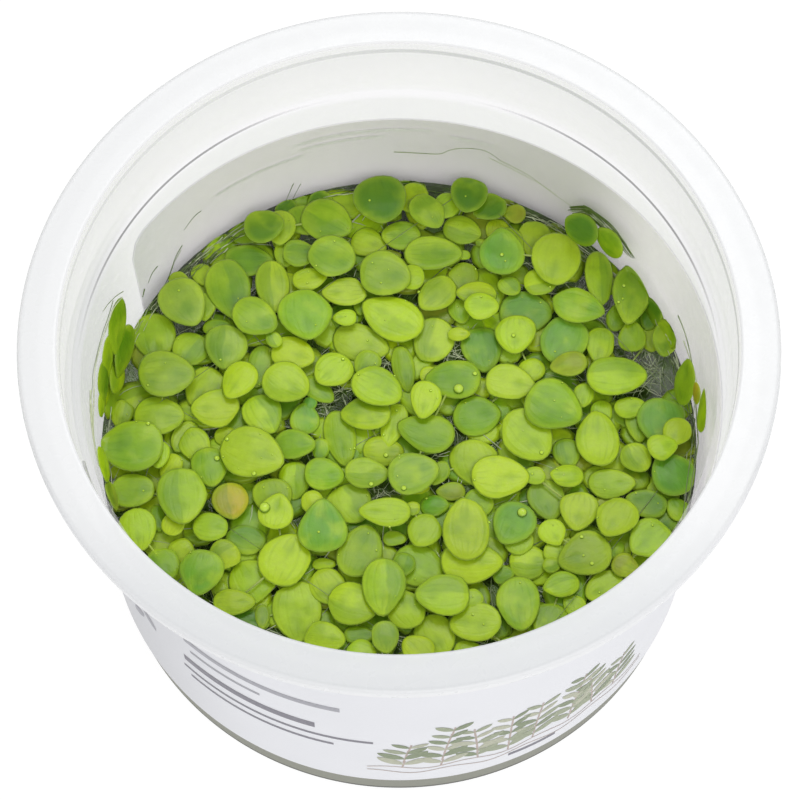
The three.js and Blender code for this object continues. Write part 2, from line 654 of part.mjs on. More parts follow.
// A frond that leans on the wall: turned in its own plane, then stood up from level by its lean
function leaningFrond(frond) {
  const [bearing, , , length, width, turn, lean] = frond;
  const geometry = frondShape(length, width);
  geometry.rotateZ(THREE.MathUtils.degToRad(turn));
  geometry.rotateX(THREE.MathUtils.degToRad(lean));
  geometry.rotateZ(THREE.MathUtils.degToRad(bearing - 90));
  geometry.translate(...leaningCentre(frond).toArray());
  return geometry;
}

function leaningColony({ name, fronds }) {
  let colony = toSolid(keptInside(leaningFrond(fronds[0])));
  for (let i = 1; i < fronds.length; i += 1) {
    const frond = drawnTo(leaningFrond(fronds[i]), leaningCentre(fronds[i - 1]));
    colony = colony.add(toSolid(keptInside(frond)));
  }
  return node(name, fromSolid(colony), material(TONES[fronds[0][7]], 0.4));
}

const model = new THREE.Group();
model.add(cup(), label(), water());
FLOATING_COLONIES.forEach((fronds, index) => model.add(floatingColony(fronds, index)));
LEANING_COLONIES.forEach((colony) => model.add(leaningColony(colony)));
export default model;
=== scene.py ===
"""Looks of a clear cup of floating giant duckweed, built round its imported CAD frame."""
import logging
import math
import random
from dataclasses import dataclass, field
from enum import Enum

import bmesh
import bpy
from mathutils import Matrix, Vector
from mathutils.bvhtree import BVHTree


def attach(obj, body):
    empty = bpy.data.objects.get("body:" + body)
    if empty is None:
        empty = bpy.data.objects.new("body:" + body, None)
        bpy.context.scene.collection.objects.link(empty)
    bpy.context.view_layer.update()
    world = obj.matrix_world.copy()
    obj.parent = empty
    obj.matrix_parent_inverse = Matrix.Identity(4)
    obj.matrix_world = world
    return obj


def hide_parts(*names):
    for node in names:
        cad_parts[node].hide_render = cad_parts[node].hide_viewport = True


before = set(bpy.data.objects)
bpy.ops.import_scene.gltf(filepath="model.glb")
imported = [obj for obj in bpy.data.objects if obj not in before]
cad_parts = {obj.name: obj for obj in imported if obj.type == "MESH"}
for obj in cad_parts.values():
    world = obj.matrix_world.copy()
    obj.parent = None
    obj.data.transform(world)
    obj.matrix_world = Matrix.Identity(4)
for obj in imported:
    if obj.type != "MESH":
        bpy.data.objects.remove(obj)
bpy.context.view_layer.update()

MM = 0.001
BODY = "root"
log = logging.getLogger("duckweed_bowl")

Rgb = tuple[int, int, int]
Color = tuple[float, float, float, float]
Pair = tuple[float, float]
Triple = tuple[float, float, float]
Socket = bpy.types.NodeSocket


class Tone(Enum):
    """Base colour of a frond's upper face, as 8-bit sRGB."""

    LIGHT = (160, 194, 62)
    BRIGHT = (171, 203, 40)
    GRASS = (126, 170, 40)
    COOL = (136, 172, 76)
    DEEP = (86, 134, 26)
    BLUE = (98, 156, 72)
    OLIVE = (140, 152, 70)
    GOLD = (192, 172, 66)


class Slot(Enum):
    """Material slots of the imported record."""

    CUP = "cup"
    LABEL = "label"
    WATER = "water"
    DUCKWEED = "duckweed"
    ROOTS = "roots"
    DROPLETS = "droplets"


def linear(rgb: Rgb) -> Color:
    """Turns an 8-bit sRGB colour into a linear one.

    Args:
        rgb: Red, green and blue from 0 to 255.

    Returns:
        Linear red, green and blue, and full opacity.
    """
    shares = [value / 255 for value in rgb]
    parts = [share / 12.92 if share <= 0.04045 else ((share + 0.055) / 1.055) ** 2.4 for share in shares]
    return (*parts, 1.0)


def smooth_step(value: float) -> float:
    """An eased value between 0 and 1."""
    share = min(1.0, max(0.0, value))
    return share * share * (3 - 2 * share)


@dataclass(frozen=True)
class Wall:
    """Inner wall of the cup, in millimetres."""

    floor_top: float = 2.0
    ledge_height: float = 55.0
    foot_radius: float = 44.3
    top_radius: float = 46.1
    thickness: float = 0.9

    def inner(self, height: float) -> float:
        """Inner radius at a height under the ledge."""
        share = (height - self.floor_top) / (self.ledge_height - self.floor_top)
        return self.foot_radius + (self.top_radius - self.foot_radius) * min(1.0, max(0.0, share))

    def outer(self, height: float) -> float:
        """Outer radius at a height under the ledge."""
        return self.inner(height) + self.thickness

    def on_inside(self, bearing: float, height: float, gap: float) -> Vector:
        """A point inside the wall, at a bearing in degrees."""
        reach, angle = self.inner(height) - gap, math.radians(bearing)
        return Vector((reach * math.cos(angle), reach * math.sin(angle), height))

    def hold(self, spot: Vector, gap: float) -> float:
        """Brings a point that lies beyond the wall back to its inside.

        Args:
            spot: The point, which is changed.
            gap: Distance to keep from the wall.

        Returns:
            How far the point lay beyond.
        """
        reach = math.hypot(spot.x, spot.y)
        limit = self.inner(spot.z) - gap
        if reach <= limit:
            return 0.0
        spot.x *= limit / reach
        spot.y *= limit / reach
        return reach - limit


WALL = Wall()
WATER_LEVEL = 30.8
CLEARANCE = 0.35


class Graph:
    """Short forms for building one material's node tree."""

    def __init__(self, name: str) -> None:
        """Makes an empty material with a Principled shader and an output.

        Args:
            name: The material's name.
        """
        self.material = bpy.data.materials.new(name)
        self.material.use_nodes = True
        self.tree = self.material.node_tree
        self.tree.nodes.clear()
        self.shader = self.tree.nodes.new("ShaderNodeBsdfPrincipled")
        output = self.tree.nodes.new("ShaderNodeOutputMaterial")
        self.tree.links.new(self.shader.outputs["BSDF"], output.inputs["Surface"])

    def node(self, kind: str, **settings: object) -> bpy.types.Node:
        """Adds a node.

        Args:
            kind: The node's type.
            settings: Its properties.

        Returns:
            The node.
        """
        made = self.tree.nodes.new(kind)
        for key, value in settings.items():
            setattr(made, key, value)
        return made

    def feed(self, socket: Socket, value: object) -> None:
        """Links an output to a socket, or sets the socket's own value.

        Args:
            socket: The input.
            value: An output socket or a constant.
        """
        if isinstance(value, Socket):
            self.tree.links.new(value, socket)
        else:
            socket.default_value = value

    def dress(self, **values: object) -> None:
        """Feeds inputs of the Principled shader by name, with _ for a space."""
        for key, value in values.items():
            self.feed(self.shader.inputs[key.replace("_", " ")], value)

    def attribute(self, name: str, output: str = "Fac") -> Socket:
        """Reads one of the piece's own attributes."""
        return self.node("ShaderNodeAttribute", attribute_name=name).outputs[output]

    def place(self) -> Socket:
        """Object coordinates."""
        return self.node("ShaderNodeTexCoord").outputs["Object"]

    def axes(self, vector: Socket) -> tuple[Socket, ...]:
        """Splits a vector.

        Args:
            vector: The vector.

        Returns:
            Its three parts.
        """
        split = self.node("ShaderNodeSeparateXYZ")
        self.feed(split.inputs[0], vector)
        return tuple(split.outputs)

    def uv(self, name: str) -> tuple[Socket, ...]:
        """The two parts of the piece's own UV map."""
        return self.axes(self.node("ShaderNodeUVMap", uv_map=name).outputs["UV"])[:2]

    def noise(
        self, scale: float, detail: float = 2.0, roughness: float = 0.5, stretch: Triple = (1, 1, 1),
    ) -> Socket:
        """Noise on Object coordinates.

        Args:
            scale: Cells a metre.
            detail: Finer layers of noise.
            roughness: Strength of the finer layers.
            stretch: Scale along each axis.

        Returns:
            The noise, about 0 to 1.
        """
        mapping = self.node("ShaderNodeMapping")
        self.feed(mapping.inputs["Vector"], self.place())
        mapping.inputs["Scale"].default_value = stretch
        made = self.node("ShaderNodeTexNoise")
        self.feed(made.inputs["Vector"], mapping.outputs["Vector"])
        values = {"Scale": scale, "Detail": detail, "Roughness": roughness, "Distortion": 0.0}
        for key, value in values.items():
            made.inputs[key].default_value = value
        return made.outputs["Fac"]

    def math(self, operation: str, *values: object, clamp: bool = False) -> Socket:
        """A Math node.

        Args:
            operation: Its operation.
            values: One or two inputs.
            clamp: Whether the result stays between 0 and 1.

        Returns:
            The result.
        """
        made = self.node("ShaderNodeMath", operation=operation, use_clamp=clamp)
        for socket, value in zip(made.inputs, values):
            self.feed(socket, value)
        return made.outputs[0]

    def fold(self, operation: str, first: Socket, *others: object, clamp: bool = False) -> Socket:
        """Joins any number of values by Math nodes.

        Args:
            operation: The operation that joins them.
            first: The first value.
            others: The values after it.
            clamp: Whether each result stays between 0 and 1.

        Returns:
            The result.
        """
        for other in others:
            first = self.math(operation, first, other, clamp=clamp)
        return first

    def plus(self, *values: object, clamp: bool = False) -> Socket:
        """The sum of some values."""
        return self.fold("ADD", *values, clamp=clamp)

    def times(self, *values: object) -> Socket:
        """The product of some values."""
        return self.fold("MULTIPLY", *values)

    def span(
        self, value: object, low: float, high: float, to_low: float = 0.0, to_high: float = 1.0,
    ) -> Socket:
        """Maps a range onto another, smoothly and clamped.

        Args:
            value: The value to map.
            low: Start of its range.
            high: End of its range.
            to_low: Result at the start.
            to_high: Result at the end.

        Returns:
            The mapped value.
        """
        made = self.node("ShaderNodeMapRange", interpolation_type="SMOOTHSTEP", clamp=True)
        for socket, number in zip(made.inputs, (value, low, high, to_low, to_high)):
            self.feed(socket, number)
        return made.outputs["Result"]

    def band(self, value: object, rise: tuple[float, ...], fall: tuple[float, ...]) -> Socket:
        """The product of two soft steps, each given as a range and what it maps onto."""
        return self.times(self.span(value, *rise), self.span(value, *fall))

    def mix(self, factor: object, first: object, second: object) -> Socket:
        """Mixes two colours.

        Args:
            factor: Share of the second.
            first: The first colour.
            second: The second colour.

        Returns:
            The mixed colour.
        """
        made = self.node("ShaderNodeMix", data_type="RGBA", blend_type="MIX")
        for key, value in (("Factor", factor), (6, first), (7, second)):
            self.feed(made.inputs[key], value)
        return made.outputs[2]

    def brighten(self, color: object, factor: object) -> Socket:
        """Multiplies a colour by a grey value.

        Args:
            color: The colour.
            factor: The grey value.

        Returns:
            The scaled colour.
        """
        made = self.node("ShaderNodeVectorMath", operation="SCALE")
        self.feed(made.inputs[0], color[:3] if isinstance(color, tuple) else color)
        self.feed(made.inputs["Scale"], factor)
        return made.outputs[0]

    def bump(self, height: Socket, strength: float, distance: float) -> None:
        """Gives the shader a bump.

        Args:
            height: The relief.
            strength: Share of it that shows.
            distance: Its depth in metres.
        """
        made = self.node("ShaderNodeBump")
        for key, value in (("Strength", strength), ("Distance", distance), ("Height", height)):
            self.feed(made.inputs[key], value)
        self.dress(Normal=made.outputs["Normal"])


@dataclass(frozen=True)
class FrondSkin:
    """Waxy leaf skin: own tone, paler rim with a painted highlight line, dark node spot, painted shade on one
    half, arching veins and gentle waves.
    """

    vein_count: float = 6.0
    vein_strength: Pair = (0.02, 0.15)
    # The rim colour is a painted highlight along the frond's edge.
    rim_highlight_color: Rgb = (188, 220, 96)
    sun_color: Rgb = (180, 208, 44)
    shade_color: Rgb = (70, 124, 24)
    belly_color: Rgb = (96, 142, 34)
    sun_share: float = 0.55
    shade_share: float = 0.3
    node_along: float = 0.3
    node_reach: float = 0.34
    # How dark the painted shade on one half of a frond gets.
    fold_shade_share: float = 0.4
    roughness: Pair = (0.32, 0.46)
    coat: float = 0.12
    gloss: float = 0.26
    wave_height: float = 5.0

    def build(self) -> bpy.types.Material:
        """Makes the material.

        Returns:
            The material.
        """
        g = Graph("frond_skin")
        sun, shade = linear(self.sun_color), linear(self.shade_color)
        radius = g.attribute("rim")
        across, along = g.uv("frond")
        patches, grain, pores = g.noise(230), g.noise(2600, 2.0, 0.6), g.noise(900, 3.0, 0.6)
        base = g.mix(g.times(g.span(patches, 0.5, 0.72), self.sun_share), g.attribute("tone", "Color"), sun)
        base = g.mix(g.times(g.span(patches, 0.5, 0.3), self.shade_share), base, shade)
        middle = g.math("SUBTRACT", across, 0.5)
        beyond = g.math("ABSOLUTE", g.math("SUBTRACT", along, self.node_along))
        node = g.plus(g.times(g.math("ABSOLUTE", middle), 1.5), beyond)
        base = g.mix(g.span(node, 0.0, self.node_reach, 0.3, 0.0), base, shade)
        wave = g.math("SINE", g.times(across, self.vein_count * math.tau))
        vein = g.times(g.span(wave, 0.2, 1.0), g.band(radius, (0.25, 0.6), (0.97, 0.8)))
        strength = g.span(g.noise(150, 1.0), 0.45, 0.62, *self.vein_strength)
        base = g.mix(g.times(vein, strength), base, shade)
        # Painted shade: one side of the midline, chosen by the fold attribute, is darker, as if that half
        # were folded away from the light.
        ragged = g.plus(middle, g.times(g.math("SUBTRACT", patches, 0.5), 0.25))
        painted_fold_shade = g.span(g.times(ragged, g.attribute("fold")), 0.004, 0.06, 0.0, self.fold_shade_share)
        base = g.mix(painted_fold_shade, base, shade)
        base = g.mix(g.span(radius, 0.62, 0.97, 0.0, 0.3), base, sun)
        # Painted highlight: a thin pale line along the rim.
        base = g.mix(g.span(radius, 0.95, 0.985, 0.0, 0.6), base, linear(self.rim_highlight_color))
        for speckle, depth, floor in ((grain, 0.16, 0.92), (pores, 0.22, 0.89)):
            base = g.brighten(base, g.plus(g.times(speckle, depth), floor))
        g.dress(
            Base_Color=g.mix(g.attribute("belly"), base, linear(self.belly_color)),
            Roughness=g.span(pores, 0.3, 0.7, *self.roughness),
            Coat_Weight=self.coat, Coat_Roughness=0.1, Specular_IOR_Level=self.gloss,
        )
        waves = g.times(g.noise(330, 1.0), self.wave_height)
        g.bump(g.plus(g.times(vein, -0.3), g.times(pores, 0.6), waves, g.times(grain, 0.2)), 0.45, 0.00012)
        return g.material


@dataclass(frozen=True)
class RootSkin:
    """Wet root threads, pale with olive stretches."""

    pale: Rgb = (226, 234, 196)
    dark: Rgb = (84, 112, 24)

    def build(self) -> bpy.types.Material:
        """Makes the material.

        Returns:
            The material.
        """
        g = Graph("root_skin")
        dark = g.plus(g.span(g.noise(420), 0.5, 0.75, 0.0, 0.4), g.attribute("root_shade"), clamp=True)
        base = g.mix(dark, linear(self.pale), linear(self.dark))
        base = g.brighten(base, g.span(g.noise(3000), 0.2, 0.8, 0.85, 1.1))
        g.dress(Base_Color=base, Roughness=0.3, Coat_Weight=0.2, Coat_Roughness=0.1)
        return g.material


@dataclass(frozen=True)
class MilkyPlastic:
    """Thin milky see-through plastic with painted shade: greyer at the foot, the sides, up the throat, above
    the label at the back and on the rim's front, with dark lines at the ledge and under the rim; and a
    painted highlight on the rim's outer edge at the front.

    The pairs are the starts and ends of soft steps, in metres of height, radius, X or Y.
    """

    white: Rgb = (252, 249, 254)
    # The foot colour is painted shade.
    foot: Rgb = (144, 145, 134)
    # The sole colour is a painted dark line of shade along the bottom edge.
    sole_shade: Rgb = (84, 85, 80)
    rim: Rgb = (240, 241, 242)
    # The front colour is painted shade on the rim's front.
    front: Rgb = (225, 227, 229)
    # The lip colour is a painted highlight on the rim's outer edge.
    lip_highlight: Rgb = (239, 240, 242)
    # The edge colour is painted shade under the rim's inner edge.
    edge: Rgb = (190, 191, 197)
    # The crease colour is a painted dark line of shade at the ledge.
    crease_shade: Rgb = (96, 98, 98)
    shade: Rgb = (186, 189, 190)
    opacity: float = 0.17
    rim_opacity: float = 0.72
    foot_opacity: float = 0.83
    edge_opacity: float = 0.3
    crease_opacity: float = 0.5
    shade_opacity: float = 0.1
    throat_opacity: float = 0.06
    foot_top: Pair = (0.0078, 0.0062)
    sole_top: Pair = (0.0019, 0.0016)
    throat_height: Pair = (0.0545, 0.057)
    rim_height: Pair = (0.0667, 0.0669)
    bead_height: Pair = (0.0645, 0.065)
    bead_radius: Pair = (0.0505, 0.0515)
    outer_radius: Pair = (0.0533, 0.0539)
    front_shade_y: Pair = (-0.022, -0.046)
    lip_y: Pair = (0.0, -0.03)
    edge_heights: tuple[Pair, Pair] = ((0.0645, 0.0648), (0.0656, 0.0653))
    edge_radius: Pair = (0.0488, 0.0486)
    crease_heights: tuple[Pair, Pair] = ((0.0545, 0.0548), (0.056, 0.0557))
    crease_radii: tuple[Pair, Pair] = ((0.04646, 0.04654), (0.0468, 0.04672))
    shade_height: Pair = (0.0572, 0.056)
    throat_shade_height: Pair = (0.0565, 0.0645)
    back_shade_heights: tuple[Pair, Pair] = ((0.0553, 0.0549), (0.047, 0.0485))
    grey_shade_share: float = 0.4

    def grey(self, g: Graph, y: Socket, height: Socket, sides: Socket) -> Socket:
        """Where shade is painted on the plastic: at the sides, up the throat and above the label at the back.

        Args:
            g: The material's graph.
            y: Place from front to back.
            height: Height above the table.
            sides: Mask of the two sides.

        Returns:
            The mask.
        """
        # Painted shade up the throat, and above the label at the back.
        throat_shade = g.band(height, (*self.throat_shade_height, 0.0, self.grey_shade_share), self.edge_heights[1])
        rise, fall = self.back_shade_heights
        back_shade = g.times(g.band(height, (*rise, 0.0, self.grey_shade_share), fall), g.span(y, 0.01, 0.03))
        return g.math("MAXIMUM", sides, g.math("MAXIMUM", throat_shade, back_shade))

    def build(self) -> bpy.types.Material:
        """Makes the material.

        Returns:
            The material.
        """
        g = Graph("milky_plastic")
        x, y, height = g.axes(g.place())
        radius = g.math("SQRT", g.plus(g.times(x, x), g.times(y, y)))
        # Painted shade: the foot is greyer and nearly opaque.
        foot = g.span(height, *self.foot_top)
        bead = g.times(g.span(height, *self.bead_height), g.span(radius, *self.bead_radius))
        rim = g.math("MAXIMUM", g.span(height, *self.rim_height), bead)
        facing = g.span(y, *self.lip_y)
        # Painted shade: a grey band just under the rim's inner edge, stronger to the right.
        edge = g.times(
            g.band(height, *self.edge_heights), g.span(radius, *self.edge_radius),
            g.span(x, -0.03, 0.02, 0.5, 1.0),
        )
        # Painted shade: a thin dark line at the ledge's inner corner, strongest at the back on either side,
        # fading at the back middle and towards the front.
        crease_shade = g.times(
            g.band(height, *self.crease_heights), g.band(radius, *self.crease_radii),
            g.span(g.math("ABSOLUTE", x), 0.008, 0.03), g.span(y, 0.0, 0.024),
        )
        sides = g.plus(g.span(x, -0.036, -0.047), g.span(x, 0.036, 0.047, 0.0, 0.5))
        shade = g.times(sides, g.span(height, *self.shade_height))
        haze = g.span(g.noise(90, 2.0, 0.4, (1, 1, 0.35)), 0.25, 0.75, 0.975, 1.01)
        base = g.brighten(linear(self.white), haze)
        # Painted shade: the rim's top is darker towards the front.
        top = g.mix(g.span(y, *self.front_shade_y), linear(self.rim), linear(self.front))
        for mask, color in (
            (self.grey(g, y, height, shade), linear(self.shade)),
            (foot, linear(self.foot)),
            # Painted shade: a dark line along the bottom edge.
            (g.span(height, *self.sole_top), linear(self.sole_shade)),
            (rim, top),
            # Painted highlight: the rim's outer edge is lighter at the front.
            (g.times(g.span(radius, *self.outer_radius), facing), linear(self.lip_highlight)),
            (edge, linear(self.edge)),
            (crease_shade, linear(self.crease_shade)),
        ):
            base = g.mix(mask, base, color)
        opacity = g.plus(g.span(height, *self.throat_height, 0.0, self.throat_opacity), self.opacity)
        for mask, amount in (
            (rim, self.rim_opacity), (foot, self.foot_opacity), (edge, self.edge_opacity),
            (crease_shade, self.crease_opacity), (shade, self.shade_opacity),
        ):
            opacity = g.plus(opacity, g.times(mask, amount), clamp=True)
        outer = g.math("MAXIMUM", g.span(radius, *self.outer_radius, 1.0, 0.6), facing)
        scuffs = g.span(g.noise(420), 0.3, 0.7, 0.26, 0.31)
        g.dress(
            Base_Color=base, Alpha=g.times(opacity, outer), Roughness=g.plus(scuffs, g.times(foot, 0.35)),
            Specular_IOR_Level=0.4,
        )
        g.bump(g.noise(160, 1.0), 0.15, 0.0002)
        return g.material


@dataclass(frozen=True)
class CoatedPaper:
    """Coated label stock: white outside, greyer on its back, with a painted glow on the back for the light
    that comes through it, and painted shade at the front left.
    """

    face: Rgb = (230, 231, 236)
    back: Rgb = (237, 233, 234)
    glow: Rgb = (250, 247, 250)
    # How dark the painted shade at the front left gets.
    turned_shade_share: float = 0.26

    def build(self) -> bpy.types.Material:
        """Makes the material.

        Returns:
            The material.
        """
        g = Graph("coated_paper")
        fibre = g.noise(2200, 3.0, 0.6)
        x, y, _ = g.axes(g.place())
        # Painted shade: the face darkens towards the front left, where it turns away from the light.
        turned_shade = g.times(g.span(x, -0.02, -0.044), g.span(y, 0.0, -0.012))
        base = g.mix(g.attribute("back"), linear(self.face), linear(self.back))
        for factor in (
            g.span(fibre, 0.25, 0.75, 0.985, 1.01),
            g.math("SUBTRACT", 1.0, g.times(turned_shade, self.turned_shade_share)),
            g.span(g.noise(60), 0.3, 0.7, 0.985, 1.01),
        ):
            base = g.brighten(base, factor)
        # The back's glow is painted light, for the light that comes through the paper.
        g.dress(
            Base_Color=base, Roughness=g.span(fibre, 0.3, 0.7, 0.38, 0.5),
            Emission_Color=g.brighten(linear(self.glow), g.attribute("glow")), Emission_Strength=1.0,
            Specular_IOR_Level=0.4, Coat_Weight=0.1, Coat_Roughness=0.25,
        )
        g.bump(fibre, 0.12, 0.00003)
        return g.material


@dataclass(frozen=True)
class PrintInk:
    """Matt ink whose colour is the printed shape's own, with slight wear."""

    wear: Pair = (0.9, 1.12)
    roughness: Pair = (0.42, 0.55)

    def build(self) -> bpy.types.Material:
        """Makes the material.

        Returns:
            The material.
        """
        g = Graph("print_ink")
        wear = g.span(g.noise(1800, 3.0, 0.6), 0.25, 0.8, *self.wear)
        g.dress(
            Base_Color=g.brighten(g.attribute("ink", "Color"), wear),
            Roughness=g.span(g.noise(2600), 0.3, 0.7, *self.roughness),
        )
        return g.material


@dataclass(frozen=True)
class PondWater:
    """Still water, see-through, tinted grey-green, with a glossy top."""

    tint: Rgb = (78, 104, 38)
    opacity: Pair = (0.58, 0.78)

    def build(self) -> bpy.types.Material:
        """Makes the material.

        Returns:
            The material.
        """
        g = Graph("pond_water")
        cloud = g.noise(240, 3.0, 0.6)
        g.dress(
            Base_Color=g.brighten(linear(self.tint), g.span(cloud, 0.35, 0.65, 0.45, 1.4)),
            Alpha=g.span(cloud, 0.3, 0.7, *self.opacity), Roughness=0.06, IOR=1.33, Specular_IOR_Level=0.22,
        )
        g.bump(g.noise(350), 0.3, 0.0002)
        return g.material


@dataclass(frozen=True)
class WaterDrop:
    """Clear water drop, with a painted glow in its bright middle for the light it gathers from the frond
    under it, and a painted darker edge of shade.
    """

    # The middle colour and its glow are painted light; the edge colour is painted shade.
    middle: Rgb = (206, 238, 70)
    edge: Rgb = (96, 136, 24)
    painted_glow: float = 0.22
    opacity: Pair = (0.85, 0.65)

    def build(self) -> bpy.types.Material:
        """Makes the material.

        Returns:
            The material.
        """
        g = Graph("water_drop")
        crown = g.attribute("crown")
        # Painted light in the bright middle, painted shade at the darker edge.
        base = g.mix(g.span(crown, 0.25, 0.8), linear(self.edge), linear(self.middle))
        g.dress(
            Base_Color=g.brighten(base, g.span(g.noise(900), 0.3, 0.7, 0.95, 1.05)),
            Emission_Color=g.brighten(linear(self.middle), g.span(crown, 0.4, 1.0, 0.0, self.painted_glow)),
            Emission_Strength=1.0, Alpha=g.span(crown, 0.2, 0.9, *self.opacity), Roughness=0.03, IOR=1.33,
            Specular_IOR_Level=0.8, Coat_Weight=0.8, Coat_Roughness=0.02,
        )
        return g.material


@dataclass(frozen=True)
class StudioFloor:
    """White sweep, bright enough to read as clean white."""

    base: Color = (0.12, 0.12, 0.12, 1)
    glow: float = 0.93

    def build(self) -> bpy.types.Material:
        """Makes the material.

        Returns:
            The material.
        """
        g = Graph("studio_floor")
        g.dress(Base_Color=self.base, Roughness=0.8, Emission_Color=(1, 1, 1, 1), Emission_Strength=self.glow)
        return g.material


class Finishes:
    """Every finish, made once."""

    def __init__(self) -> None:
        """Makes the materials."""
        self.frond = FrondSkin().build()
        self.root = RootSkin().build()
        self.plastic = MilkyPlastic().build()
        self.paper = CoatedPaper().build()
        self.ink = PrintInk().build()
        self.water = PondWater().build()
        self.drop = WaterDrop().build()
        self.floor = StudioFloor().build()


def finished(
    name: str, mesh: bpy.types.Mesh, material: bpy.types.Material, slot: Slot | None, *replaced: str,
) -> bpy.types.Object:
    """Makes a smooth-shaded piece of a mesh, rides it on the frame unless it is a studio piece, and logs its
    face count.

    Args:
        name: The piece's name.
        mesh: Its mesh, in the row frame and in metres.
        material: Its finish.
        slot: The record's slot, or None for studio pieces; only whether it is None is used.
        replaced: CAD nodes that the piece stands for.

    Returns:
        The new object.
    """
    mesh.name = name
    mesh.materials.append(material)
    piece = bpy.data.objects.new(name, mesh)
    bpy.context.scene.collection.objects.link(piece)
    if slot is None:
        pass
    else:
        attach(piece, BODY)
        if replaced:
            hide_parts(*replaced)
    log.info("%s: %d faces", name, len(mesh.polygons))
    return piece


def mesh_of(bm: bmesh.types.BMesh, unit: float = MM, sharp: float = 0.0) -> bpy.types.Mesh:
    """Turns a bmesh into a smooth-shaded mesh in metres and frees it.

    Args:
        bm: The bmesh.
        unit: Its unit in metres.
        sharp: Angle in degrees over which edges stay sharp, or 0 for none.

    Returns:
        The mesh.
    """
    if unit != 1:
        bmesh.ops.scale(bm, vec=(unit, unit, unit), verts=bm.verts)
    for face in bm.faces:
        face.smooth = True
    mesh = bpy.data.meshes.new("mesh")
    bm.to_mesh(mesh)
    bm.free()
    if sharp:
        mesh.set_sharp_from_angle(angle=math.radians(sharp))
    return mesh


def spun(profile: list[Vector], steps: int, sharp: float) -> bpy.types.Mesh:
    """Spins a profile that starts and ends on the axis into a closed mesh.

    Args:
        profile: Points with radius in X and height in Z, in millimetres.
        steps: Steps of the spin.
        sharp: Angle in degrees over which edges stay sharp.

    Returns:
        The mesh in metres.
    """
    bm = bmesh.new()
    verts = [bm.verts.new(point) for point in profile]
    edges = [bm.edges.new(pair) for pair in zip(verts, verts[1:])]
    bmesh.ops.spin(
        bm, geom=verts + edges, cent=(0, 0, 0), axis=(0, 0, 1), dvec=(0, 0, 0),
        angle=math.tau, steps=steps, use_merge=True, use_duplicate=False,
    )
    bmesh.ops.remove_doubles(bm, verts=bm.verts, dist=1e-4)
    bmesh.ops.recalc_face_normals(bm, faces=bm.faces)
    return mesh_of(bm, sharp=sharp)


@dataclass(frozen=True)
class Frond:
    """One floating frond, as the CAD source gives it, in millimetres and degrees."""

    x: float
    y: float
    length: float
    width: float
    heading: float
    layer: float
    tone: Tone

    def reach(self, bearing: float) -> float:
        """Distance from the centre to the edge towards a bearing in radians."""
        turn = bearing - math.radians(self.heading)
        return 1 / math.hypot(math.cos(turn) / (self.length / 2), math.sin(turn) / (self.width / 2))


@dataclass(frozen=True)
class LeaningFrond:
    """One frond that stands against the wall, in millimetres and degrees."""

    bearing: float
    distance: float
    height: float
    length: float
    width: float
    turn: float
    lean: float
    tone: Tone


# A short form for the rows below.
T = Tone

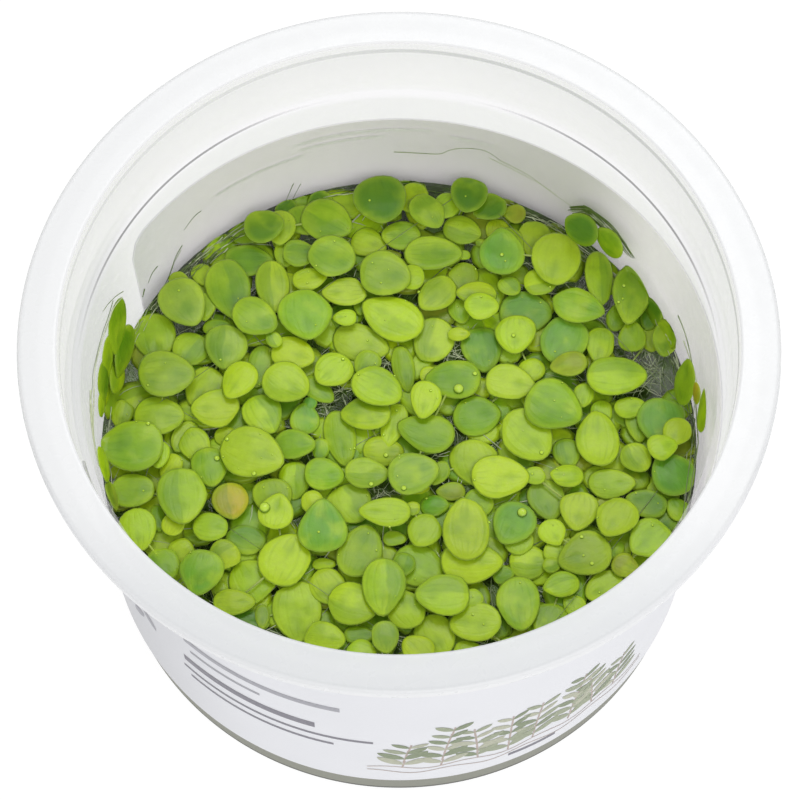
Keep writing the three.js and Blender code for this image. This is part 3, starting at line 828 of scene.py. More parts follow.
# The fronds of each floating colony, the first mother first, as the fields of Frond.
FLOATING_COLONIES: tuple[tuple[tuple, ...], ...] = (
    (
        (-21.1, 35.8, 6.4, 5.9, 180, 2, T.DEEP),
        (-18.6, 36.2, 6.2, 5.0, 90, 1, T.LIGHT),
        (-17.9, 40.0, 4.2, 3.4, 60, 0, T.DEEP),
        (-11.4, 37.4, 8.4, 7.6, 150, 1, T.GRASS),
        (-15.3, 37.8, 5.4, 5.2, 120, 0.4, T.GRASS),
        (-12.6, 41.2, 4.8, 3.8, 60, 0, T.DEEP),
    ),
    (
        (-2.9, 40.6, 8.8, 8.4, 100, 2, T.DEEP),
        (2.4, 41.6, 5.6, 4.8, 60, 0.8, T.BRIGHT),
    ),
    (
        (-4.9, 34.0, 5.6, 5.2, 160, 0, T.BRIGHT),
        (0.3, 35.0, 6.4, 5.2, 0, 0.5, T.GRASS),
        (-1.5, 31.7, 3.8, 2.2, 180, 0, T.OLIVE),
        (5.3, 31.5, 9.2, 6.0, 180, 1, T.GRASS),
        (10.1, 31.6, 2.2, 1.8, 0, 0.2, T.LIGHT),
        (10.0, 27.9, 5.4, 5.0, 90, 0, T.COOL),
    ),
    (
        (4.5, 38.6, 7.0, 5.2, 120, 1.8, T.GRASS),
        (7.6, 40.0, 4.8, 4.4, 60, 1, T.LIGHT),
        (9.9, 36.2, 6.0, 5.4, 160, 0, T.LIGHT),
        (12.8, 33.9, 1.8, 1.6, -30, 0, T.LIGHT),
    ),
    (
        (11.0, 41.2, 6.6, 5.8, 80, 2.4, T.DEEP),
        (14.3, 39.6, 5.4, 4.8, 30, 1.3, T.DEEP),
        (18.2, 38.9, 3.6, 3.4, 0, 0.4, T.OLIVE),
    ),
    (
        (16.0, 31.2, 7.8, 7.4, -90, 2, T.BLUE),
        (17.0, 33.2, 5.6, 5.4, 120, 1, T.GRASS),
        (15.5, 35.9, 4.6, 3.8, 90, 0, T.BRIGHT),
        (24.4, 29.9, 9.0, 7.9, 80, 2, T.LIGHT),
        (21.1, 34.5, 6.2, 5.2, 80, 0.6, T.LIGHT),
        (22.0, 26.4, 5.4, 4.9, 200, 1, T.BRIGHT),
    ),
    (
        (19.6, 21.6, 8.2, 7.4, 180, 0, T.BLUE),
        (17.2, 25.8, 3.8, 3.4, 140, 0.8, T.BRIGHT),
    ),
    (
        (27.5, 21.8, 8.2, 6.0, 160, 2, T.GRASS),
        (31.1, 27.0, 10.0, 4.3, 92, 1, T.LIGHT),
        (25.3, 16.3, 8.6, 7.4, 65, 1, T.BLUE),
        (26.0, 11.7, 5.8, 4.1, 10, 2, T.OLIVE),
    ),
    (
        (36.1, 24.0, 9.8, 6.4, 80, 2, T.GRASS),
        (34.0, 20.8, 5.0, 4.0, 60, 0, T.GRASS),
    ),
    (
        (41.2, 16.6, 6.2, 4.6, 80, 1.2, T.GRASS),
        (38.9, 17.2, 4.6, 3.8, 90, 0, T.LIGHT),
        (38.9, 20.6, 4.4, 3.4, 70, 0.3, T.DEEP),
        (33.2, 9.7, 9.2, 7.0, 180, 2, T.BRIGHT),
        (31.0, 15.7, 6.4, 4.6, 80, 0.6, T.LIGHT),
        (35.9, 16.9, 5.2, 4.4, -90, 1, T.GRASS),
    ),
    (
        (-33.4, 22.4, 8.4, 7.4, 120, 2, T.COOL),
        (-30.0, 22.6, 5.0, 3.6, 90, 0.6, T.LIGHT),
        (-34.2, 27.0, 3.6, 2.6, 150, 0.9, T.LIGHT),
        (-28.1, 19.1, 4.8, 2.8, 180, 0, T.GRASS),
        (-26.4, 25.3, 10.4, 7.0, 105, 1, T.GRASS),
        (-30.6, 28.2, 4.2, 3.4, 120, 0, T.LIGHT),
        (-23.6, 30.7, 7.8, 5.6, 180, 0.2, T.GRASS),
    ),
    (
        (-19.6, 25.7, 8.8, 5.4, 95, 1.2, T.LIGHT),
        (-17.6, 26.1, 5.4, 4.4, 80, 0, T.BRIGHT),
        (-10.4, 30.4, 7.8, 7.4, 150, 1.9, T.COOL),
        (-13.9, 27.0, 5.4, 4.2, 200, 1, T.BRIGHT),
        (-15.5, 31.5, 5.4, 4.8, 180, 1, T.COOL),
        (-17.8, 31.9, 4.6, 3.6, 90, 0.2, T.LIGHT),
    ),
    (
        (-14.4, 20.4, 8.8, 8.4, 100, 2, T.GRASS),
        (-8.3, 20.1, 3.8, 2.9, 0, 1.2, T.BRIGHT),
    ),
    (
        (-8.4, 24.7, 6.8, 5.2, 0, 1, T.LIGHT),
        (-5.9, 22.6, 2.6, 2.4, 90, 0, T.GRASS),
        (-2.2, 27.3, 8.4, 7.6, 160, 2, T.COOL),
        (1.7, 27.1, 4.6, 4.6, 0, 1.4, T.BRIGHT),
    ),
    (
        (5.9, 24.4, 7.0, 5.6, 50, 1, T.LIGHT),
        (9.4, 22.0, 4.6, 3.6, 100, 0, T.GRASS),
        (12.7, 21.6, 5.5, 4.9, 180, 2, T.BRIGHT),
        (12.1, 24.4, 6.2, 4.4, 0, 1, T.BRIGHT),
    ),
    (
        (17.9, 17.4, 6.6, 6.4, 90, 1, T.BRIGHT),
        (20.2, 11.6, 4.6, 4.2, 45, 0, T.BRIGHT),
        (16.9, 9.0, 7.6, 6.2, 170, 1, T.LIGHT),
        (20.1, 6.5, 3.0, 2.7, -30, 0, T.LIGHT),
        (11.8, 3.9, 7.5, 6.6, 190, 0, T.GRASS),
    ),
    (
        (-37.7, 17.4, 8.2, 6.8, 100, 0, T.LIGHT),
        (-32.2, 15.0, 6.2, 5.8, 60, 0.4, T.LIGHT),
    ),
    (
        (-35.6, 10.1, 8.8, 7.9, 180, 2, T.COOL),
        (-36.5, 3.5, 7.8, 6.8, 180, 1, T.LIGHT),
        (-40.3, -2.0, 9.4, 8.8, 0, 2, T.GRASS),
        (-36.3, -3.1, 4.6, 3.4, 90, 1.2, T.LIGHT),
        (-42.3, 4.4, 4.8, 3.6, 80, 0, T.LIGHT),
    ),
    (
        (-26.6, 15.2, 7.6, 6.6, 90, 1.2, T.COOL),
        (-29.8, 8.8, 6.8, 6.3, 60, 0, T.LIGHT),
        (-24.4, 9.0, 6.8, 5.3, 60, 2, T.BRIGHT),
        (-27.9, 4.7, 7.4, 6.4, 0, 1, T.BRIGHT),
    ),
    (
        (-22.2, 19.7, 7.6, 6.4, 145, 2.2, T.GRASS),
        (-19.3, 16.2, 3.2, 2.4, -60, 1.6, T.LIGHT),
        (-21.4, 12.4, 7.6, 4.2, 80, 0, T.COOL),
        (-17.2, 8.6, 7.4, 7.0, 150, 2, T.LIGHT),
        (-16.4, 14.1, 7.2, 5.8, 160, 0.9, T.BRIGHT),
    ),
    (
        (-10.1, 11.2, 6.3, 6.0, 45, 1, T.BRIGHT),
        (-12.4, 8.4, 6.0, 3.8, 140, 0, T.GRASS),
        (-15.9, -1.3, 6.4, 5.0, 180, 1, T.GRASS),
        (-14.4, 3.4, 5.2, 4.7, -90, 0, T.BLUE),
        (-13.6, 6.0, 2.6, 2.2, 90, 0, T.BLUE),
    ),
    (
        (-0.9, 20.2, 10.0, 7.6, -30, 1, T.BRIGHT),
        (-6.0, 16.4, 8.8, 6.6, 160, 0, T.LIGHT),
        (-3.3, 7.8, 8.4, 6.6, 150, 2, T.LIGHT),
        (-4.9, 12.4, 4.5, 4.1, 60, 1.1, T.COOL),
        (0.7, 12.0, 7.8, 3.6, 100, 0, T.GRASS),
    ),
    (
        (12.8, 15.4, 7.8, 6.6, 100, 0, T.BLUE),
        (9.2, 17.4, 3.4, 2.4, 180, 0.9, T.BRIGHT),
        (5.3, 16.7, 8.2, 6.4, 80, 0, T.LIGHT),
    ),
    (
        (8.4, 9.7, 8.4, 6.8, 0, 1, T.GRASS),
        (4.8, 10.8, 3.4, 3.2, 180, 0, T.BRIGHT),
        (4.2, 0.6, 8.8, 6.5, -20, 1, T.GRASS),
        (4.0, 5.7, 6.1, 4.9, 80, 2, T.BRIGHT),
        (2.1, -6.6, 7.9, 6.9, 200, 2, T.COOL),
    ),
    (
        (23.4, 4.7, 8.9, 8.5, 150, 2, T.GRASS),
        (28.2, 6.9, 4.2, 3.2, 80, 1, T.BRIGHT),
        (19.4, 0.2, 9.4, 7.8, 130, 1, T.LIGHT),
    ),
    (
        (30.1, -0.4, 9.0, 6.7, -90, 1, T.BRIGHT),
        (30.9, 4.4, 4.2, 3.6, 90, 0.2, T.LIGHT),
        (25.4, -2.3, 5.2, 4.2, 100, 0, T.GRASS),
        (25.2, -6.5, 5.2, 4.0, 0, 0.9, T.BRIGHT),
    ),
    (
        (39.8, 2.7, 7.8, 7.4, 90, 1, T.BLUE),
        (36.4, 2.6, 6.0, 4.0, 90, 0.2, T.GRASS),
        (35.1, 4.9, 4.8, 3.6, 190, 0.9, T.BRIGHT),
    ),
    (
        (-28.6, -5.0, 6.6, 5.6, 100, 1, T.GRASS),
        (-30.9, -1.1, 6.0, 5.0, 120, 0.2, T.BRIGHT),
        (-32.6, 0.4, 5.8, 4.0, 60, 0, T.LIGHT),
        (-22.3, -3.2, 9.7, 8.6, 160, 2, T.LIGHT),
        (-26.2, 0.5, 3.8, 3.5, 150, 0, T.BRIGHT),
        (-20.7, 3.8, 6.8, 6.3, 120, 1, T.BRIGHT),
    ),
    (
        (-5.0, 3.9, 7.5, 6.0, 0, 1, T.BRIGHT),
        (-8.9, 0.2, 9.4, 4.9, 100, 0, T.GRASS),
        (-11.9, -1.7, 3.8, 2.8, 90, 0, T.GRASS),
        (-2.4, -2.0, 6.3, 5.2, 180, 0, T.LIGHT),
        (-0.9, 2.4, 7.6, 4.0, 75, 0.1, T.BRIGHT),
        (-4.9, -6.1, 6.6, 5.1, 180, 1, T.LIGHT),
    ),
    (
        (11.4, -3.8, 7.8, 7.4, 100, 0, T.LIGHT),
        (15.1, -6.8, 8.7, 7.2, 180, 1, T.BRIGHT),
        (20.3, -6.5, 3.8, 3.0, 0, 0.9, T.LIGHT),
        (6.2, -5.6, 4.2, 2.8, 60, 0, T.COOL),
        (26.9, -12.2, 6.3, 6.0, 80, 1, T.LIGHT),
        (22.2, -10.0, 6.8, 5.7, 100, 0, T.COOL),
    ),
    (
        (42.0, 0.2, 4.9, 4.5, 60, 2, T.BRIGHT),
        (39.7, -2.4, 4.6, 4.5, 200, 2.2, T.BRIGHT),
        (35.8, -3.6, 5.2, 4.7, 120, 1, T.LIGHT),
        (41.3, -6.3, 7.2, 6.8, -60, 1, T.BLUE),
    ),
    (
        (-32.5, -10.3, 9.4, 7.6, 95, 2, T.LIGHT),
        (-33.7, -14.4, 4.2, 3.5, -110, 1.2, T.BRIGHT),
        (-34.5, -4.8, 4.4, 3.4, 60, 0.6, T.BRIGHT),
        (-39.9, -8.9, 7.2, 5.6, 180, 0.9, T.GRASS),
    ),
    (
        (-39.1, -15.4, 7.0, 6.0, 100, 1, T.BRIGHT),
        (-36.2, -13.0, 4.4, 2.4, 100, 0, T.GRASS),
        (-35.0, -20.8, 5.6, 5.0, 130, 1, T.GRASS),
        (-32.7, -18.4, 4.4, 4.2, 40, 0, T.BRIGHT),
    ),
    (
        (-25.3, -10.6, 6.0, 5.7, 100, 1, T.GOLD),
        (-28.1, -15.0, 5.7, 4.7, 170, 1.1, T.LIGHT),
        (-22.9, -16.5, 6.0, 5.0, -10, 0, T.BLUE),
    ),
    (
        (-19.0, -10.0, 6.2, 6.0, 100, 1, T.COOL),
        (-18.4, -12.9, 5.8, 5.4, -100, 1.8, T.BRIGHT),
        (-16.9, -20.3, 8.6, 8.0, -110, 1, T.BRIGHT),
        (-24.4, -27.0, 6.4, 4.2, 180, 1, T.LIGHT),
        (-21.9, -23.2, 7.8, 7.0, -60, 0, T.LIGHT),
    ),
    (
        (-11.4, -15.5, 8.2, 7.4, -90, 2, T.BLUE),
        (-12.9, -11.2, 4.2, 3.6, 120, 1.2, T.BRIGHT),
        (-5.8, -18.8, 8.8, 6.6, -110, 1, T.COOL),
    ),
    (
        (-11.3, -6.3, 6.1, 5.4, 180, 1, T.GRASS),
        (-15.8, -6.8, 6.2, 5.0, 90, 0, T.BRIGHT),
        (-7.4, -10.7, 7.0, 6.8, 120, 0, T.LIGHT),
    ),
    (
        (-2.0, -13.0, 7.6, 4.8, 0, 2, T.BRIGHT),
        (1.9, -12.0, 2.6, 2.3, 0, 1.1, T.LIGHT),
        (3.8, -15.5, 5.7, 5.3, 60, 1, T.LIGHT),
        (-0.7, -16.4, 3.6, 2.6, 180, 0, T.LIGHT),
    ),
    (
        (10.0, -15.7, 10.0, 7.3, -90, 2, T.LIGHT),
        (10.6, -20.6, 9.0, 7.1, 180, 1, T.BRIGHT),
        (11.8, -10.8, 5.0, 4.7, 60, 0, T.GRASS),
        (7.9, -8.7, 4.4, 3.1, 0, 0, T.OLIVE),
        (5.3, -11.0, 4.4, 3.6, 180, 0, T.BLUE),
    ),
    (
        (17.1, -14.3, 7.2, 6.5, 60, 1, T.BLUE),
        (17.9, -16.6, 5.4, 4.5, -90, 0.3, T.LIGHT),
        (19.3, -20.2, 5.9, 5.8, 180, 0, T.BRIGHT),
        (15.5, -22.2, 3.5, 3.0, 200, 0, T.GRASS),
    ),
    (
        (32.4, -13.8, 6.7, 6.3, 60, 2, T.LIGHT),
        (32.0, -7.4, 7.2, 5.0, 180, 0, T.LIGHT),
        (37.2, -10.8, 6.2, 4.7, -20, 0.2, T.DEEP),
        (41.9, -11.6, 4.2, 3.6, -60, 0, T.GRASS),
    ),
    (
        (-29.3, -22.5, 7.0, 6.7, 80, 2, T.BLUE),
        (-26.1, -19.6, 5.2, 4.8, 40, 1, T.BRIGHT),
        (-26.4, -24.6, 2.8, 2.2, 100, 0, T.LIGHT),
    ),
    (
        (-15.1, -27.9, 9.6, 7.5, 95, 0, T.LIGHT),
        (-10.6, -24.2, 6.1, 5.5, 120, 0.2, T.LIGHT),
        (-11.2, -20.5, 3.6, 2.0, 180, 0, T.BRIGHT),
        (-20.2, -28.9, 4.0, 2.2, 90, 0.1, T.COOL),
        (-22.4, -29.6, 6.0, 4.2, 170, 0, T.DEEP),
        (-29.5, -29.6, 6.2, 5.4, 60, 0, T.GRASS),
        (-34.4, -26.0, 4.0, 3.4, 120, 0, T.LIGHT),
    ),
    (
        (-7.0, -27.3, 7.3, 7.1, 160, 1, T.BRIGHT),
        (-5.9, -31.8, 4.6, 3.0, 180, 0, T.GRASS),
        (-11.0, -32.6, 6.3, 5.0, 170, 1, T.LIGHT),
        (-2.3, -24.9, 9.0, 6.7, 90, 2, T.LIGHT),
        (0.6, -21.1, 4.1, 3.5, 70, 1, T.GRASS),
        (2.9, -20.8, 8.0, 7.0, 150, 0, T.LIGHT),
        (0.9, -28.1, 6.6, 5.8, -60, 1, T.BRIGHT),
    ),
    (
        (6.5, -26.2, 8.0, 7.0, 0, 2, T.BRIGHT),
        (10.8, -26.4, 3.4, 3.2, 0, 1, T.LIGHT),
        (11.2, -30.3, 7.6, 6.2, 0, 1, T.BRIGHT),
        (10.4, -35.6, 6.4, 5.6, -60, 0, T.LIGHT),
        (17.6, -34.6, 6.0, 5.4, -30, 0.2, T.GRASS),
    ),
    (
        (27.7, -19.3, 7.7, 7.4, 20, 1, T.COOL),
        (22.9, -15.9, 4.5, 4.2, 120, 1, T.BRIGHT),
        (23.2, -18.8, 3.5, 3.4, 160, 0.5, T.LIGHT),
        (22.7, -20.9, 2.9, 2.6, 200, 0.6, T.LIGHT),
    ),
    (
        (37.5, -16.9, 6.8, 6.6, 40, 1, T.LIGHT),
        (33.6, -21.0, 4.2, 4.0, 160, 0.6, T.OLIVE),
        (32.3, -18.2, 3.4, 2.6, 60, 0, T.GRASS),
        (30.5, -24.3, 6.3, 5.2, 30, 0, T.LIGHT),
    ),
    (
        (17.6, -27.2, 8.8, 6.4, 95, 1, T.GRASS),
        (22.1, -29.5, 6.2, 5.2, 60, 0, T.GRASS),
        (24.0, -24.2, 5.6, 4.2, 20, 0.8, T.BRIGHT),
        (25.9, -27.1, 3.6, 3.4, -40, 0, T.LIGHT),
    ),
    (
        (-2.1, -32.9, 5.0, 4.2, 100, 2, T.COOL),
        (-5.5, -34.9, 4.5, 4.2, 160, 0.9, T.LIGHT),
        (-9.4, -38.3, 6.6, 6.0, 200, 0, T.LIGHT),
    ),
    (
        (5.3, -31.9, 6.8, 6.2, 120, 0, T.LIGHT),
        (2.7, -34.5, 5.2, 4.8, -40, 1, T.BRIGHT),
        (0.3, -40.0, 6.6, 5.8, -90, 0, T.GRASS),
    ),
    (
        (-23.6, -34.2, 6.6, 5.6, 150, 0.9, T.BRIGHT),
        (-17.6, -35.4, 6.2, 5.6, -100, 0, T.LIGHT),
        (-20.4, -38.8, 3.8, 3.2, -120, 0.1, T.GRASS),
    ),
    (
        (28.4, -31.6, 6.2, 5.0, -40, 0, T.BRIGHT),
        (23.6, -35.4, 5.8, 5.2, -70, 0.4, T.LIGHT),
        (33.4, -27.9, 4.4, 3.6, 0, 0.2, T.GRASS),
    ),
)

# The fronds of each colony against the wall, as the fields of LeaningFrond.
LEANING_COLONIES: dict[str, tuple[tuple, ...]] = {
    "leaning_colony_left": (
        (176.8, 44.8, 38.2, 3.6, 3.6, 0, 82, T.BRIGHT),
        (172.2, 44.8, 39.5, 6.2, 5.4, 40, 80, T.DEEP),
        (167.5, 44.9, 40.4, 6.4, 5.0, 50, 82, T.LIGHT),
        (161.5, 44.8, 41.5, 9.4, 6.4, 56, 80, T.GRASS),
        (163.0, 43.7, 36.2, 8.6, 5.6, 10, 74, T.DEEP),
        (168.3, 43.8, 34.6, 5.0, 4.4, 0, 66, T.BRIGHT),
    ),
    "leaning_colony_front_left": (
        (189.4, 44.5, 38.4, 5.6, 4.8, 0, 74, T.BRIGHT),
        (194.8, 44.2, 36.2, 5.0, 4.2, 0, 70, T.OLIVE),
    ),
    "leaning_colony_back": (
        (49.2, 42.9, 38.6, 6.2, 5.2, 15, 52, T.DEEP),
        (42.6, 43.9, 39.4, 5.8, 4.4, -10, 66, T.GRASS),
    ),
    "leaning_colony_right": (
        (9.4, 43.9, 36.6, 7.2, 5.8, -40, 64, T.GRASS),
        (4.6, 44.7, 40.0, 3.4, 2.8, 0, 74, T.GOLD),
        (359.2, 45.0, 42.4, 6.4, 5.0, -25, 78, T.BRIGHT),
    ),
}

# Open water in the mat, as X, Y and radius in millimetres.
OPEN_SPOTS: tuple[Triple, ...] = (
    (36.9, 14.9, 2.2), (38.7, 12.0, 2.2), (37.6, 9.3, 1.8), (33.3, 20.2, 1.0), (-8.7, 8.3, 1.6),
    (-11.1, 6.0, 1.2), (-3.4, -9.0, 2.0), (5.5, -2.4, 1.2), (8.6, 2.3, 1.0), (-2.1, 12.9, 1.4),
    (12.1, 15.1, 1.4), (8.1, 14.9, 1.8),
)


def scattered(rng: random.Random, reach: float) -> Pair:
    """A random place in a circle round the axis.

    Args:
        rng: Source of the place.
        reach: The circle's radius.

    Returns:
        The place's X and Y.
    """
    distance = reach * math.sqrt(rng.random())
    turn = rng.uniform(0, math.tau)
    return distance * math.cos(turn), distance * math.sin(turn)


@dataclass(frozen=True)
class Traits:
    """What one frond has of its own."""

    waves: tuple[Triple, ...]
    cupping: float
    dimple: float
    keel: float
    color: Triple
    blush: float
    facing: float
    point: float
    blunt_turn: float
    blunt: float
    # Strength of the painted shade on one half of the frond, with its side as the sign.
    fold: float


@dataclass
class FrondForm:
    """Shape that all fronds share: a thin egg-shaped disc with a blunt rim, in millimetres."""

    segments: int = 24
    rings: int = 8
    rise: float = 0.2
    drop: float = 0.14
    flatness: float = 0.5
    taper: float = 0.14
    full_length: float = 6.0
    waves: tuple[Pair, ...] = ((2, 0.035), (3, 0.03))
    node_point: Pair = (0.0, 0.12)
    node_pinch: float = 0.06
    blunting: Pair = (0.78, 1.0)
    blunt_share: float = 0.6
    # Share of fronds with one half in painted shade, and the range of that shade's strength.
    fold_shade_share: float = 0.26
    fold_shade_strength: Pair = (0.3, 1.0)
    cupping: Pair = (-0.2, 0.1)
    dimple: Pair = (0.0, 0.14)
    dimple_place: float = -0.45
    dimple_size: float = 0.06
    keel: Pair = (-0.08, 0.12)
    level: Pair = (0.88, 1.1)
    warmth: Pair = (0.92, 1.1)
    blueness: Pair = (0.1, 0.5)
    blush: Pair = (0.0, 0.75)
    mat_level: float = WATER_LEVEL + 0.7
    layer_step: float = 1.1
    stalk_radius: float = 0.13
    stalk_reach: float = 0.9
    stalk_drop: float = 0.12
    stalk_color: Rgb = (170, 190, 96)

    @staticmethod
    def new_mesh() -> bmesh.types.BMesh:
        """Makes an empty bmesh with the layers that the leaf skin reads.

        Returns:
            The bmesh.
        """
        bm = bmesh.new()
        bm.verts.layers.float_color.new("tone")
        for name in ("rim", "belly", "fold"):
            bm.verts.layers.float.new(name)
        bm.loops.layers.uv.new("frond")
        return bm

    def fold(self, rng: random.Random) -> float:
        """Draws how strongly one half of a frond is painted in shade.

        Args:
            rng: Source of the colony's variation.

        Returns:
            The strength of the painted shade, with the shaded side as its sign, or 0 for none.
        """
        if rng.random() < self.fold_shade_share:
            return rng.choice((-1, 1)) * rng.uniform(*self.fold_shade_strength)
        return 0.0

    def traits(self, length: float, tone: Tone, rng: random.Random) -> Traits:
        """Draws what one frond has of its own.

        Args:
            length: Length in millimetres.
            tone: Base tone.
            rng: Source of the colony's variation.

        Returns:
            The traits.
        """
        red, green, blue, _ = linear(tone.value)
        small = min(1.0, length / self.full_length)
        waves = tuple((order, rng.uniform(0, size), rng.uniform(0, math.tau)) for order, size in self.waves)
        bends = (self.cupping, self.dimple, self.keel)
        cupping, dimple, keel = (rng.uniform(*ends) * small for ends in bends)
        level, warmth = rng.uniform(*self.level), rng.uniform(*self.warmth)
        return Traits(
            waves=waves, cupping=cupping, dimple=dimple, keel=keel,
            color=(red * level * warmth, green * level, blue * level * rng.uniform(*self.blueness)),
            blush=rng.uniform(*self.blush), facing=rng.uniform(0, math.tau),
            point=rng.uniform(*self.node_point), blunt_turn=rng.uniform(0, math.tau),
            blunt=rng.uniform(*self.blunting), fold=self.fold(rng),
        )

    def shaped(self, own: Traits, x: float, y: float, z: float) -> Triple:
        """Moves a point of the unit sphere to its place on a frond.

        Args:
            own: The frond's traits.
            x: The point's X, towards the frond's round end.
            y: The point's Y.
            z: The point's Z.

        Returns:
            X and Y in half lengths and half widths, and Z in millimetres.
        """
        turn = math.atan2(y, x)
        wave = 1 + sum(size * math.sin(order * turn + shift) for order, size, shift in own.waves)
        back = max(0.0, -math.cos(turn))
        px = x * wave * (1 + own.point * back ** 6)
        py = y * wave * (1 + self.taper * math.cos(turn)) * (1 - self.node_pinch * back ** 2)
        cos, sin = math.cos(own.blunt_turn), math.sin(own.blunt_turn)
        beyond = px * cos + py * sin - own.blunt
        if beyond > 0:
            px -= self.blunt_share * beyond * cos
            py -= self.blunt_share * beyond * sin
        hollow = math.exp(-((px - self.dimple_place) ** 2 + py ** 2 * 1.6) / self.dimple_size)
        height = math.copysign(abs(z) ** self.flatness, z) * (self.rise if z > 0 else self.drop)
        height += own.cupping * (math.hypot(x, y) ** 2 - 0.4) + own.keel * (0.35 - abs(py)) * (1 - px * px)
        return px, py, height - own.dimple * hollow * (0.5 + 0.5 * z)

    def disc(
        self, bm: bmesh.types.BMesh, length: float, width: float, tone: Tone, rng: random.Random,
    ) -> list[bmesh.types.BMVert]:
        """Adds one frond, flat in XY at the origin with its round end towards +X.

        Args:
            bm: The colony's bmesh, with its layers.
            length: Length in millimetres.
            width: Width in millimetres.
            tone: Base tone.
            rng: Source of the colony's variation.

        Returns:
            The frond's vertices.
        """
        tone_layer = bm.verts.layers.float_color["tone"]
        layers = bm.verts.layers.float
        rim_layer, belly_layer, fold_shade_layer = (layers[name] for name in ("rim", "belly", "fold"))
        uv_layer = bm.loops.layers.uv["frond"]
        ball = bmesh.ops.create_uvsphere(bm, u_segments=self.segments, v_segments=self.rings, radius=1)
        verts = ball["verts"]
        own = self.traits(length, tone, rng)
        lime = linear(Tone.BRIGHT.value)[:3]
        uvs = {}
        for vert in verts:
            x, y, z = vert.co
            px, py, height = self.shaped(own, x, y, z)
            vert.co = (px * length / 2, py * width / 2, height)
            toward = 0.5 + 0.5 * (px * math.cos(own.facing) + py * math.sin(own.facing))
            share = own.blush * max(0.0, min(1.0, toward)) ** 1.6
            color = (first + (second - first) * share for first, second in zip(own.color, lime))
            vert[tone_layer] = (*color, 1)
            vert[rim_layer] = math.hypot(x, y) if z > -0.3 else 1.0
            vert[belly_layer] = smooth_step(-z * 1.6 - 0.6)
            # Strength and side of the painted shade on one half.
            vert[fold_shade_layer] = own.fold
            across = py / math.sqrt(max(0.06, 1.06 - px * px))
            uvs[vert] = (0.5 + 0.5 * max(-1.0, min(1.0, across)), 0.5 + 0.5 * px)
        for face in {face for vert in verts for face in vert.link_faces}:
            for loop in face.loops:
                loop[uv_layer].uv = uvs[loop.vert]
        return verts

    def stalk(self, bm: bmesh.types.BMesh, start: Vector, end: Vector) -> None:
        """Adds a short pale stalk.

        Args:
            bm: The colony's bmesh.
            start: Its end on the mother.
            end: Its end on the daughter.
        """
        span = end - start
        matrix = Matrix.Translation((start + end) / 2) @ span.to_track_quat("Z", "Y").to_matrix().to_4x4()
        verts = bmesh.ops.create_cone(
            bm, cap_ends=True, segments=6, radius1=self.stalk_radius * 1.4, radius2=self.stalk_radius,
            depth=max(0.2, span.length), matrix=matrix,
        )["verts"]
        for vert in verts:
            vert[bm.verts.layers.float_color["tone"]] = linear(self.stalk_color)
            vert[bm.verts.layers.float["rim"]] = 0.5

    @staticmethod
    def keep_inside(verts: list[bmesh.types.BMVert], curl: float = 0.0) -> None:
        """Brings vertices beyond the wall back inside it, with a rise for each millimetre beyond."""
        for vert in verts:
            vert.co.z += curl * WALL.hold(vert.co, CLEARANCE)

    def stand(self, bm: bmesh.types.BMesh, frond: LeaningFrond, rng: random.Random) -> None:
        """Adds a frond that stands against the wall.

        Args:
            bm: The colony's bmesh.
            frond: The frond.
            rng: Source of the colony's variation.
        """
        verts = self.disc(bm, frond.length, frond.width, frond.tone, rng)
        angle = math.radians(frond.bearing)
        spot = (frond.distance * math.cos(angle), frond.distance * math.sin(angle), frond.height)
        matrix = (
            Matrix.Translation(spot)
            @ Matrix.Rotation(math.radians(frond.bearing - 90), 4, "Z")
            @ Matrix.Rotation(math.radians(frond.lean), 4, "X")
            @ Matrix.Rotation(math.radians(frond.turn), 4, "Z")
        )
        bmesh.ops.transform(bm, matrix=matrix, verts=verts)
        self.keep_inside(verts)


